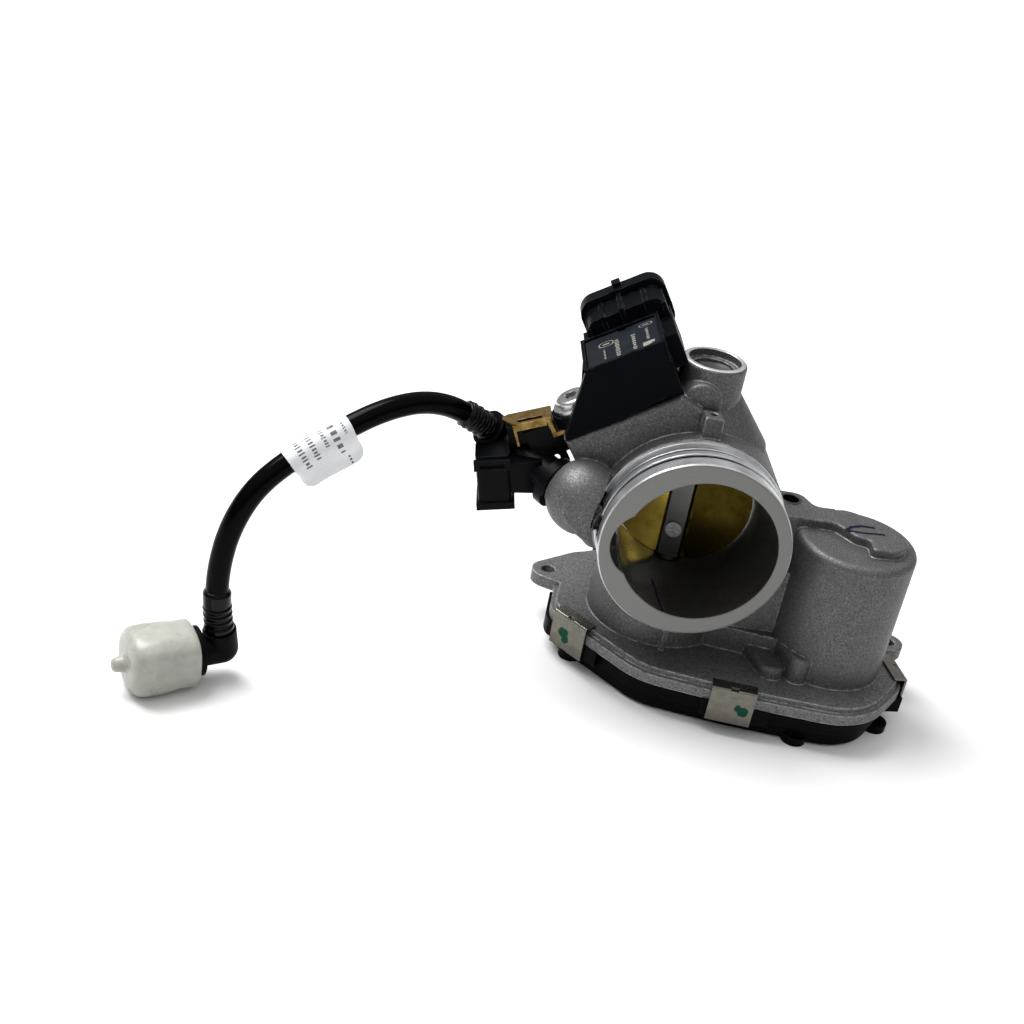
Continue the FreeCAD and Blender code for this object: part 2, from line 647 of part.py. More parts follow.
# middle of each clip on the flange's edge, and the way it faces, degrees
CLIP_SPOTS = ((-26.7, -13.1, 223.2), (20.4, -40.0, 261.0), (75.4, -17.0, 8.5), (27.0, 30.1, 73.9))


def clip_frame(x, y, out_degrees):
    """Local frame on the flange edge: e1 along the edge, e2 outwards, e3 up."""
    out = polar(1.0, out_degrees)
    return Frame(V(x, y, 0), out.cross(Z), out, Z)


def cover_clips():
    """Stainless C-shaped clips that hold the cover to the flange."""
    clips = []
    for x, y, out in CLIP_SPOTS:
        f = clip_frame(x, y, out)
        face = f.block(-6.7, 6.7, 0.35, 1.05, -51.95, CLIP_TOP)
        top = f.block(-6.7, 6.7, -3.4, 1.05, CLIP_TOP - 0.7, CLIP_TOP)
        under = f.block(-6.7, 6.7, -1.4, 1.05, -51.95, COVER_RIM - 0.05)
        clip = join(face, top, under)
        clip = soft(clip, 0.6, lambda e: e.BoundBox.ZMin > CLIP_TOP - 0.01 and e.Length > 13
                    and f.e2.dot(e.BoundBox.Center - f.o) > 0.9)
        clips.append(clip.cut(f.block(-1.2, 1.2, -0.6, 2, CLIP_TOP - 0.35, CLIP_TOP + 1)))
    return several(clips)


def clip_pads():
    """Stretches of the cover's rim that stand out flush with the flange, one at each clip."""
    pads = []
    for x, y, out in CLIP_SPOTS:
        f = clip_frame(x, y, out)
        pads.append(f.block(-11.6, 8.8, -9, 0.2, COVER_RIM, FLANGE_BOTTOM - 0.05))
    return pads


def cover_connector():
    """Shroud for the motor and position-sensor plug, on the cover's far side."""
    shroud = box(-16, 12, 24, 44, -56.4, -46.8)
    return shroud.cut(box(-14.4, 10.4, 32, 45, -54.9, -48.3))


def gear_cover():
    rim = flange_slab(2.0, COVER_RIM, FLANGE_BOTTOM - 0.05)
    deep = flange_slab(3.4, COVER_BOTTOM, COVER_RIM)
    deep = soft(deep, 0.8, lambda e: e.BoundBox.ZMax < COVER_BOTTOM + 0.01)
    feet = [cyl(3.8, 2.6, (x, y, FEET_BOTTOM)) for x, y in
            ((42.3, -38.2), (70.0, -27.0), (-24.5, -8.0), (-18.0, 22.0), (40.0, 18.0))]
    ribs = [box(x - 0.8, x + 0.8, -20, 20, COVER_BOTTOM - 0.3, COVER_BOTTOM + 0.1)
            for x in (-12, 0, 12)]
    side_lip = flange_slab(-0.9, COVER_RIM, FLANGE_BOTTOM - 0.05)
    side_lip = side_lip.common(box(-45, -24, -6.5, 10, COVER_RIM, FLANGE_BOTTOM))
    body = join(rim, deep, cover_connector(), side_lip, *(feet + ribs + clip_pads()))
    inside = flange_slab(5.3, COVER_FLOOR, FLANGE_BOTTOM + 1)
    body = body.cut(inside)
    socket = ring(4.6, 2.52, 1.2, (IDLER.x, IDLER.y, COVER_FLOOR - 0.3))
    return join(body, socket).cut(cyl(2.52, 1.4, (IDLER.x, IDLER.y, COVER_FLOOR)))


def cover_gasket():
    outer = flange_slab(1.6, FLANGE_BOTTOM - 0.05, FLANGE_BOTTOM + 1.0)
    return outer.cut(flange_slab(3.0, FLANGE_BOTTOM - 0.05, FLANGE_BOTTOM + 1.0))


def position_sensor():
    """Circuit board under the magnet, with its sensing chip."""
    return join(box(-11, 8, 8, 27, COVER_FLOOR, COVER_FLOOR + 0.8),
                box(-4, 4, -4, 9, COVER_FLOOR, COVER_FLOOR + 0.8),
                box(-2.2, 2.2, -2.2, 2.2, COVER_FLOOR + 0.8, COVER_FLOOR + 1.4))


def cover_terminals():
    pins = [box(x - 0.4, x + 0.4, 29, 40, -52.0, -51.2) for x in (-12, -8, -4, 0, 4, 8)]
    return several(pins)


# ---------------------------------------------------------------- pressure sensor
def sensor_body():
    """Moulded case: label block, front wing, screw ear, connector collar and ribs."""
    s, y0 = SENSOR, SENSOR_FRONT
    block = s.block(-11.6, 10.8, y0 + 2.0, y0 + 30, PAD_N, -0.9)
    right = s.block(10.0, 14.8, y0 + 9, y0 + 30, -12.5, -2.4)
    wing = s.prism_across([(-25.0, PAD_N), (-24.4, PAD_N + 1.6), (-12.2, -0.2), (10.9, -0.2),
                           (10.9, -14.8), (8.0, -15.4), (-6.0, -16.9), (-7.0, PAD_N)],
                          y0, y0 + 2.2)
    back_wing = s.prism_across([(-18.0, PAD_N), (-17.5, -13), (-12.0, -1.0), (-8, -1.0),
                                (-8, PAD_N)], y0 + 19, y0 + 21)
    ear = join(s.block(SCREW_U, -8, SCREW_Y - 7.2, SCREW_Y + 7.2, EAR_N, HEAD_N),
               s.bar(7.2, (SCREW_U, SCREW_Y, EAR_N), HEAD_N - EAR_N))
    neck = s.rounded_tube(11.6, 6.6, 3.0, y0 + 22, y0 + 36, a=2.4, c=-2.2)
    collar = s.rounded_tube(13.1, 8.6, 5.0, y0 + 32.5, y0 + 38, a=2.4, c=-1.8)
    mid_rib = s.block(1.2, 2.6, y0 + 20.6, y0 + 33, -2, 5.6)
    side_ribs = [s.block(a, a + 1.3, y0 + 21.6, y0 + 33, -3, top)
                 for a, top in ((-9.6, 2.6), (-4.6, 4.8), (8.4, 4.8), (13.0, 2.6))]
    tooth = s.block(1.0, 3.6, y0 + 34.5, y0 + 38, 6.4, 8.2)
    frame = s.block(-12.4, 11.2, y0, y0 + 21.5, -2.4, 0.6)
    spout = s.bar(5.0, (PROBE_U, PROBE_Y, PAD_N - 7.5), 8)
    tip = s.bar(2.9, (PROBE_U, PROBE_Y, PAD_N - 16), 10)
    body = join(block, right, wing, back_wing, ear, neck, collar, mid_rib, tooth, frame, spout,
                tip, *side_ribs)
    socket = s.rounded_tube(11.0, 6.0, 3.2, y0 + 24, y0 + 39, a=2.4, c=-1.8)
    groove = s.bar(6, (PROBE_U, PROBE_Y, PAD_N - 5.0), 2.4).cut(
        s.bar(3.8, (PROBE_U, PROBE_Y, PAD_N - 5.0), 2.4))
    bush = s.bar(3.6, (SCREW_U, SCREW_Y, PAD_N - 1), 8)
    board_room = s.block(-8.5, 8.5, y0 + 4.5, y0 + 19.3, -4.7, -0.5)
    head_room = s.bar(6.6, (SCREW_U, SCREW_Y, HEAD_N), 20)
    plate_room = s.block(-30, -11.7, SCREW_Y - 5.2, SCREW_Y + 5.2, PAD_N - 1, EAR_N)
    tower_room = cyl(TOWER_R + 0.15, 30, (0, 0, 20))
    pocket = s.block(-11.4, 10.2, y0 + 1.1, y0 + 20.4, -0.9, 1.0)
    body = body.cut(several([socket, groove, bush, board_room, pocket]))
    return body.cut(head_room).cut(several([plate_room, tower_room]))


def sensor_lid():
    """Flat closing plate with three slots along its front, let into the case's frame."""
    s, y0 = SENSOR, SENSOR_FRONT
    plate = s.block(-11.2, 10.0, y0 + 1.3, y0 + 20.2, -0.88, -0.1)
    slots = [s.block(a0, a1, y0 + 1.2, y0 + 2.7, -1.0, 0.2)
             for a0, a1 in ((-10.2, -5.0), (-3.6, 3.0), (4.4, 9.0))]
    notch = s.block(-1.2, 1.2, y0 + 18.6, y0 + 20.5, -0.5, 0.2)
    return plate.cut(several(slots + [notch]))


def sensor_board():
    s, y0 = SENSOR, SENSOR_FRONT
    return s.block(-8, 8, y0 + 5, y0 + 19, -4.2, -3.4)


def sensor_terminals():
    s, y0 = SENSOR, SENSOR_FRONT
    return several([s.block(a - 0.4, a + 0.4, y0 + 21, y0 + 33, -2.2, -1.4)
                    for a in (-4.2, 0.2, 4.6, 9.0)])


def sensor_seal():
    return Part.makeTorus(4.5, 0.7, SENSOR.point(PROBE_U, PROBE_Y, PAD_N - 3.8), SENSOR.e3)


def sensor_bush():
    return SENSOR.bar(3.6, (SCREW_U, SCREW_Y, EAR_N), HEAD_N - EAR_N).cut(
        SENSOR.bar(2.5, (SCREW_U, SCREW_Y, EAR_N), HEAD_N - EAR_N))


def sensor_screw():
    """Round-headed flanged screw with a hexalobular socket."""
    s = SENSOR
    top = HEAD_N
    flange = s.bar(6.2, (SCREW_U, SCREW_Y, top), 1.2)
    head = s.bar(5.0, (SCREW_U, SCREW_Y, top + 1.2), 2.2)
    head = head.makeFillet(1.2, [e for e in head.Edges if e.BoundBox.Center.distanceToPoint(
        s.point(SCREW_U, SCREW_Y, top + 3.4)) < 0.3])
    shank = s.bar(2.0, (SCREW_U, SCREW_Y, top - 15.6), 15.6)
    body = join(flange, head, shank)
    for k in range(6):
        spot = polar(1.55, 60 * k)
        body = body.cut(s.bar(0.62, (SCREW_U + spot.x, SCREW_Y + spot.y, top + 1.8), 3))
    return body.cut(s.bar(1.7, (SCREW_U, SCREW_Y, top + 1.8), 3))


# ---------------------------------------------------------------- injector and fuel parts
def injector_body():
    """Steel valve tube from the nozzle to the fuel inlet."""
    f = INJECTOR
    tube = f.bar(3.6, (0, 0, -16), 40)
    seat = f.bar(5.9, (0, 0, -12.5), 5.0)
    lower_land = f.bar(5.9, (0, 0, -4.2), 5.2)
    inlet = f.bar(4.6, (0, 0, 17), 3.4)
    top = f.bar(4.6, (0, 0, 22.6), 1.4)
    body = join(tube, seat, lower_land, inlet, top)
    return body.cut(f.bar(2.2, (0, 0, 8), 20)).cut(f.bar(1.2, (0, 0, -17), 6))


def injector_connector():
    """Plastic overmould with its plug shroud hanging beside the fuel cap."""
    f = INJECTOR
    collar = f.bar(7.6, (0, 0, 1.2), 2.8)
    sleeve = f.bar(6.1, (0, 0, 4.0), 12.5)
    shroud = shroud_frame()
    shell = shroud.block(-4.9, 4.9, -5.0, 5.0, -8.2, 8.4)
    shell = shell.makeFillet(1.4, [e for e in shell.Edges if is_along(e, shroud.e3)])
    rim = shroud.block(-5.5, 5.5, -5.6, 5.6, -8.4, -6.2)
    loop = shroud.block(-5.4, 5.0, -6.2, -4.9, 4.4, 7.6)
    loop = loop.cut(shroud.block(-3.7, 3.4, -7, -5.4, 5.2, 6.6))
    neck = Part.makeLoft([neck_wire(f.point(0, 0, 9.0), 5.2), neck_wire(shroud.point(3.6, 0, 1), 4.6)],
                         True)
    guard = join(SENSOR.block(-36.0, -28.5, -9.2, -7.35, -23.0, -13.2),
                 SENSOR.block(-36.0, -25.4, -9.2, -7.35, -23.0, PAD_N - 0.2))
    body = join(collar, sleeve, shell, rim, loop, neck, guard.cut(cap_saddle(0.15)))
    cavity = shroud.block(-3.7, 3.7, -3.8, 3.8, -9, 3.0)
    cap_room = f.bar(CUP_R + 0.15, (0, 0, CUP_FROM - 0.15), CUP_LENGTH + 5)
    start, way = first_run()
    spout_room = Part.makeCylinder(5.75, 12.0, start - way * 7.0, way)
    body = body.cut(several([cavity, spout_room])).cut(cap_room).cut(clip_room())
    return body.cut(f.bar(3.6, (0, 0, 0), 20)).cut(f.bar(4.7, (0, 0, 16.9), 12))


def shroud_frame():
    """e1 across, e2 along +Y, e3 up, away from the plug's mouth."""
    t = math.radians(12)
    return Frame(V(-57.6, -11.0, 3.6), V(math.cos(t), 0, math.sin(t)), Y,
                 V(-math.sin(t), 0, math.cos(t)))


def is_along(edge, direction):
    if not isinstance(edge.Curve, Part.Line):
        return False
    return abs(edge.tangentAt(edge.FirstParameter).dot(direction)) > 0.999


def neck_wire(centre, half):
    """A square section across X."""
    return Part.makePolygon([centre + V(0, a * half, b * half)
                             for a, b in ((-1, -1), (1, -1), (1, 1), (-1, 1), (-1, -1))])


def injector_terminals():
    f = shroud_frame()
    return several([f.block(-0.4, 0.4, b - 0.4, b + 0.4, -5, 4.0) for b in (-1.6, 1.6)])


def injector_seals():
    lower = Part.makeTorus(5.25, 1.6, INJECTOR.point(0, 0, -5.9), INJECTOR.e3)
    upper = Part.makeTorus(4.45, 0.85, INJECTOR.point(0, 0, 21.5), INJECTOR.e3)
    return several([lower, upper])


def first_run():
    """Start of the hose and the way it leaves the fuel cap."""
    start = V(*HOSE_ROUTE[0])
    way = V(*HOSE_ROUTE[1]) - start
    way.normalize()
    return start, way


def fuel_cap():
    """Plastic cup over the injector's inlet, with the spout that the hose is pushed on."""
    f = INJECTOR
    crown = f.point(0, 0, CUP_FROM + CUP_LENGTH)
    cup = f.bar(CUP_R, (0, 0, CUP_FROM), CUP_LENGTH)
    cup = cup.makeFillet(2.4, [e for e in cup.Edges
                               if e.BoundBox.Center.distanceToPoint(crown) < 0.3])
    start, way = first_run()
    spout = Part.makeCylinder(4.9, 6.0, start - way * 6.0, way)
    shoulder = Part.makeCylinder(5.6, 1.6, start - way * 1.6, way)
    body = join(cup, spout, shoulder, cap_saddle())
    inside = f.bar(CUP_R - 1.2, (0, 0, CUP_FROM - 1), 8.4)
    duct = Part.makeCylinder(1.7, 9.0, start - way * 8.5, way)
    spot_face = Part.makeCylinder(5.5, 6.0, start, way)
    return body.cut(inside).cut(several([duct, spot_face])).cut(clip_room())


CLIP_OUTLINE = ((-1.0, -9.6), (9.2, -9.6), (10.4, -8.4), (13.2, -4.4), (13.2, -2.8), (11.8, -1.5),
                (-1.0, -1.5))


def strap_frame():
    """e1 outwards along the clip's strap, e2 along +Y, e3 up from its underside."""
    t = math.radians(STRAP_FALL)
    return Frame(SENSOR.point(-27.8, 0, STRAP_N), V(-math.cos(t), 0, -math.sin(t)), Y,
                 V(-math.sin(t), 0, math.cos(t)))


def clip_bends(room=0.0):
    """The clip's strap, front lip, tail, eyed leg and riser, grown on all sides by room."""
    s, p = SENSOR, strap_frame()
    strap = Part.Face(Part.makePolygon([p.point(a, b, -room)
                                        for a, b in CLIP_OUTLINE + CLIP_OUTLINE[:1]]))
    strap = strap.extrude(p.e3 * (0.9 + 2 * room))
    lip = p.block(0.6 - room, 10.4 + room, -9.6 - room, -8.8 + room, -1.3 - room, 0.5 + room)
    tail = p.block(9.6 - room, 10.4 + room, -9.6 - room, -8.8 + room, -6.0 - room, -1.2 + room)
    leg = s.block(-32.4 - room, -27.0 + room, -7.2 - room, -6.4 + room, -27.4 - room,
                  EAR_N + room)
    riser = s.block(-28.3 - room, -27.0 + room, -9.6 - room, -1.5 + room, PAD_N - room,
                    STRAP_N + 0.7 + room)
    return [strap, lip, tail, leg, riser]


def cap_saddle(room=0.0):
    """Block of the fuel cap that the clip's strap bears on, grown on all sides by room."""
    return strap_frame().block(3.0 - room, 12.4 + room, -8.6 - room, -1.9 + room, -6.0 - room,
                               room)


def clip_room():
    """Space that the fuel cap and the injector's overmould leave for the clip."""
    return several(clip_bends(0.12))


def fuel_clip():
    """Bent plate under the sensor's ear that keeps the fuel cap and the injector in place."""
    s = SENSOR
    foot = s.block(-28.3, -12.4, SCREW_Y - 4.9, SCREW_Y + 4.9, PAD_N, EAR_N)
    body = join(foot, *clip_bends())
    slot = strap_frame().block(1.6, 8.8, -8.4, -6.8, -1, 2)
    eye = Part.makeCylinder(1.3, 4, s.point(-30.6, -9, -25.0), Y)
    hole = s.bar(2.2, (SCREW_U, SCREW_Y, PAD_N - 1), 4)
    return body.cut(several([slot, eye, hole]))


# ---------------------------------------------------------------- hose
def hose_path(points):
    """Straight runs joined by tangent arcs as large as the runs allow."""
    points = [V(*p) for p in points]
    edges, at, radii = [], points[0], []
    for i in range(1, len(points) - 1):
        p = points[i]
        back, on = points[i - 1] - p, points[i + 1] - p
        turn = math.pi - back.getAngle(on)
        radius = 0.45 * min(back.Length, on.Length) / math.tan(turn / 2)
        radii.append(radius)
        cut = radius * math.tan(turn / 2)
        back.normalize()
        on.normalize()
        start, end = p + back * cut, p + on * cut
        middle = back + on
        middle.normalize()
        edges.append(Part.LineSegment(at, start).toShape())
        edges.append(Part.Arc(start, p + middle * (radius / math.cos(turn / 2) - radius),
                              end).toShape())
        at = end
    edges.append(Part.LineSegment(at, points[-1]).toShape())
    return Part.Wire(edges), radii


def tube_along(wire, r):
    start = wire.Edges[0]
    section = Part.Wire(Part.Circle(start.valueAt(start.FirstParameter),
                                    start.tangentAt(start.FirstParameter), r).toShape())
    return wire.makePipeShell([section], True, False)


def fuel_hose():
    wire, radii = hose_path(HOSE_ROUTE)
    tube = tube_along(wire, HOSE_R)
    print("hose length", round(wire.Length, 1), "radii", [round(r, 1) for r in radii],
          "volume ratio", round(tube.Volume / (math.pi * HOSE_R ** 2 * wire.Length), 4))
    return tube


def part_of(edge, first, last):
    """The stretch of an edge between two shares of its length."""
    span = edge.LastParameter - edge.FirstParameter
    return edge.Curve.toShape(edge.FirstParameter + first * span,
                              edge.FirstParameter + last * span)


def sleeve_on(edges, ribs):
    """A ribbed rubber sleeve that follows the hose along the given edges."""
    wire = Part.Wire(edges)
    body = tube_along(wire, HOSE_R + 0.6)
    spots = wire.discretize(2 * ribs + 2)
    for i in range(1, 2 * ribs, 2):
        run = spots[i + 1] - spots[i]
        body = body.fuse(Part.makeCylinder(HOSE_R + 1.0, run.Length, spots[i], run))
    return body.cut(tube_along(wire, HOSE_R + 0.03))


def hose_sleeves():
    edges = hose_path(HOSE_ROUTE)[0].Edges
    return several([sleeve_on([edges[0], part_of(edges[1], 0.0, 0.55)], 6),
                    sleeve_on([part_of(edges[-2], 0.12, 1.0), edges[-1]], 7)])


def elbow_connector():
    """Right-angled quick connector on the hose's far end."""
    leg = Part.makeCylinder(ELBOW_R, ELBOW_DROP, HOSE_END, HOSE_END_WAY)
    arm = Part.makeCylinder(ELBOW_R, PLUG_FROM + 1, ELBOW, CAP_HEADING)
    out = ELBOW + CAP_HEADING * PLUG_FROM
    barrel = Part.makeCylinder(PLUG_R, PLUG_LENGTH, out, CAP_HEADING)
    body = join(leg, Part.makeSphere(ELBOW_R, ELBOW), arm, barrel)
    bore = Part.makeCylinder(4.1, PLUG_LENGTH - 2, out + CAP_HEADING * 3, CAP_HEADING)
    duct = Part.makeCylinder(1.7, PLUG_FROM + 6, ELBOW, CAP_HEADING)
    riser = Part.makeCylinder(1.7, ELBOW_DROP + 1, ELBOW, HOSE_END_WAY * -1)
    return body.cut(bore).cut(several([duct, riser]))


def connector_seals():
    """Two seal rings inside the quick connector."""
    spots = [ELBOW + CAP_HEADING * (PLUG_FROM + along) for along in (9.0, 12.0)]
    return several([Part.makeTorus(3.4, 0.68, spot, CAP_HEADING) for spot in spots])


def cap_section(half, corner):
    """Rounded square across the cap's axis, drawn about the axis."""
    wire = rounded_wire([(-half, -half, corner), (half, -half, corner),
                         (half, half, corner), (-half, half, corner)])
    side = Z.cross(CAP_HEADING)
    m = FreeCAD.Matrix(side.x, 0, CAP_HEADING.x, 0, side.y, 0, CAP_HEADING.y, 0, 0, 1, 0, 0,
                       0, 0, 0, 1)
    return Part.Face(wire).transformGeometry(m)


def dust_cap():
    """Push-on cap with a rounded square outside, a round socket and a small nub."""
    start = ELBOW + CAP_HEADING * CAP_FROM
    face = cap_section(CAP_HALF, 6.4).translated(start)
    shell = face.extrude(CAP_HEADING * CAP_LENGTH)
    far = ELBOW + CAP_HEADING * (CAP_FROM + CAP_LENGTH)
    shell = soft(shell, 3.0, lambda e: abs((e.BoundBox.Center - far).dot(CAP_HEADING)) < 0.1)
    nub = Part.makeCone(2.6, 1.6, 4.0, far - CAP_HEADING * 0.5, CAP_HEADING)
    room = Part.makeCylinder(PLUG_R + 0.1, CAP_LENGTH - CAP_WALL, start, CAP_HEADING)
    return join(shell, nub).cut(room)


def hose_label():
    """Paper label wrapped round the hose, with its free end hanging as a flag."""
    a, b = V(*HOSE_ROUTE[5]), V(*HOSE_ROUTE[4])
    run = b - a
    run.normalize()
    base = b - run * 13.0
    side = run.cross(Z)
    side.normalize()
    under = side.cross(run)
    wrap = ring(HOSE_R + 1.0, HOSE_R + 0.7, 18, base, run)
    f = Frame(base, run, side, under * (1 if under.z < 0 else -1))
    flag = f.block(0, 18, HOSE_R + 0.7, HOSE_R + 1.0, 0, 13)
    return join(wrap, flag)


def mount_bush():
    return ring(BUSH_R, BUSH_BORE_R, 8.8, (BUSH_X, BUSH_Y, -4.6))


PARTS = (housing, shaft_plug, upper_bearing, lower_bearing, shaft_seal, mount_bush,
         throttle_shaft, throttle_plate, plate_screws, sector_gear, sensor_magnet,
         return_spring, spring_guide, idler_pin, idler_gear,
         motor_can, motor_magnets, motor_bearing, motor_wave_spring, motor_end_cap,
         motor_screws, motor_armature, motor_shaft, motor_pinion,
         gear_cover, cover_gasket, cover_clips, position_sensor, cover_terminals,
         sensor_body, sensor_lid, sensor_board, sensor_terminals, sensor_seal, sensor_bush,
         sensor_screw, injector_body, injector_connector, injector_terminals, injector_seals,
         fuel_clip, fuel_cap, fuel_hose, hose_sleeves, elbow_connector, connector_seals,
         dust_cap, hose_label)

if __name__ == "__main__":
    os.makedirs("parts", exist_ok=True)
    for make in PARTS:
        shape = make().translated(BODY_SHIFT)
        good = shape.isValid() and shape.Volume > 0
        print(make.__name__, len(shape.Solids), round(shape.Volume, 1), "" if good else "INVALID")
        shape.exportStep("parts/" + make.__name__ + ".step")
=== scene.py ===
"""Looks of the electronic throttle body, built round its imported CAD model. Lengths are in metres."""
import math

import bpy
from mathutils import Matrix, Vector


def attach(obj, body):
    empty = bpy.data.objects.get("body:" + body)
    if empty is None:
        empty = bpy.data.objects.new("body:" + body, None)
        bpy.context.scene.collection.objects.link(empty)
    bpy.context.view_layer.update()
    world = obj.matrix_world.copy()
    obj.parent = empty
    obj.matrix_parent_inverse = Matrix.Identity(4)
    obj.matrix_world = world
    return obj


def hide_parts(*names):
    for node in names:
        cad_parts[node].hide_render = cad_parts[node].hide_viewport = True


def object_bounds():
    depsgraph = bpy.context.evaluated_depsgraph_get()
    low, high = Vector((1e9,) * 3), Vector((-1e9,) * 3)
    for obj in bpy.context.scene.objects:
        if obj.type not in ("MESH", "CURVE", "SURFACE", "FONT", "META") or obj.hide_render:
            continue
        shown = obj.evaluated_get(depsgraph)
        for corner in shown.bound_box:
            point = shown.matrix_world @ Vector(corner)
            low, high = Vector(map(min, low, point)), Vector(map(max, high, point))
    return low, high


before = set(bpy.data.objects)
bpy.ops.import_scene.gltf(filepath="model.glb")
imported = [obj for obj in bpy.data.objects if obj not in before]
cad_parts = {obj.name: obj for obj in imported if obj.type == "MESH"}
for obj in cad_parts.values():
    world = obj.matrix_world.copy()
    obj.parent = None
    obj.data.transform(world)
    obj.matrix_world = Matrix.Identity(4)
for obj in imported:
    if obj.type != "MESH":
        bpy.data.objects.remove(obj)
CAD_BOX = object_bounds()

MM = 0.001
FLOOR_Z = CAD_BOX[0][2]
SHAFT_Y = 34.0                       # the throttle shaft's y, mm; the bore runs 34 mm to each side
BAND_R = 27.75                       # just outside the spigots, mm
BORE_R = 22.65                       # between the bore's wall and the spigots' outside, mm
BORE_SHIFT = 0.8                     # x of the circle that parts the bore from the face, mm
COVER_JOINT_Z = -45.9                # the casting's machined underside, mm
SENSOR_TILT = math.radians(31.7)
SENSOR_EDGE = (-27.55, 47.18)        # x and z of the middle of the sensor lid, mm


# ---------------------------------------------------------------- camera
CAMERA_AT = (-0.08455, -0.34151, 0.19190)
CAMERA_TURN = (-8.02, 29.57, 11.57)  # azimuth, elevation and roll, degrees
CAMERA_LENS = 50.09
CAMERA_SHIFT = (-0.0518, 0.0340)


def place_camera():
    """The photograph's viewpoint: from the engine side, a little from above and rolled."""
    azimuth, elevation, roll = (math.radians(angle) for angle in CAMERA_TURN)
    back = Vector((math.sin(azimuth) * math.cos(elevation),
                   -math.cos(azimuth) * math.cos(elevation), math.sin(elevation)))
    level = (-back).cross(Vector((0, 0, 1))).normalized()
    up = level.cross(-back)
    right = level * math.cos(roll) + up * math.sin(roll)
    top = up * math.cos(roll) - level * math.sin(roll)
    lens = bpy.data.cameras.new("camera")
    lens.sensor_width = 36
    lens.lens = CAMERA_LENS
    lens.shift_x, lens.shift_y = CAMERA_SHIFT
    lens.clip_start = 0.01
    eye = bpy.data.objects.new("camera", lens)
    eye.matrix_world = Matrix((right, top, back)).transposed().to_4x4()
    eye.location = CAMERA_AT
    bpy.context.scene.collection.objects.link(eye)
    bpy.context.scene.camera = eye


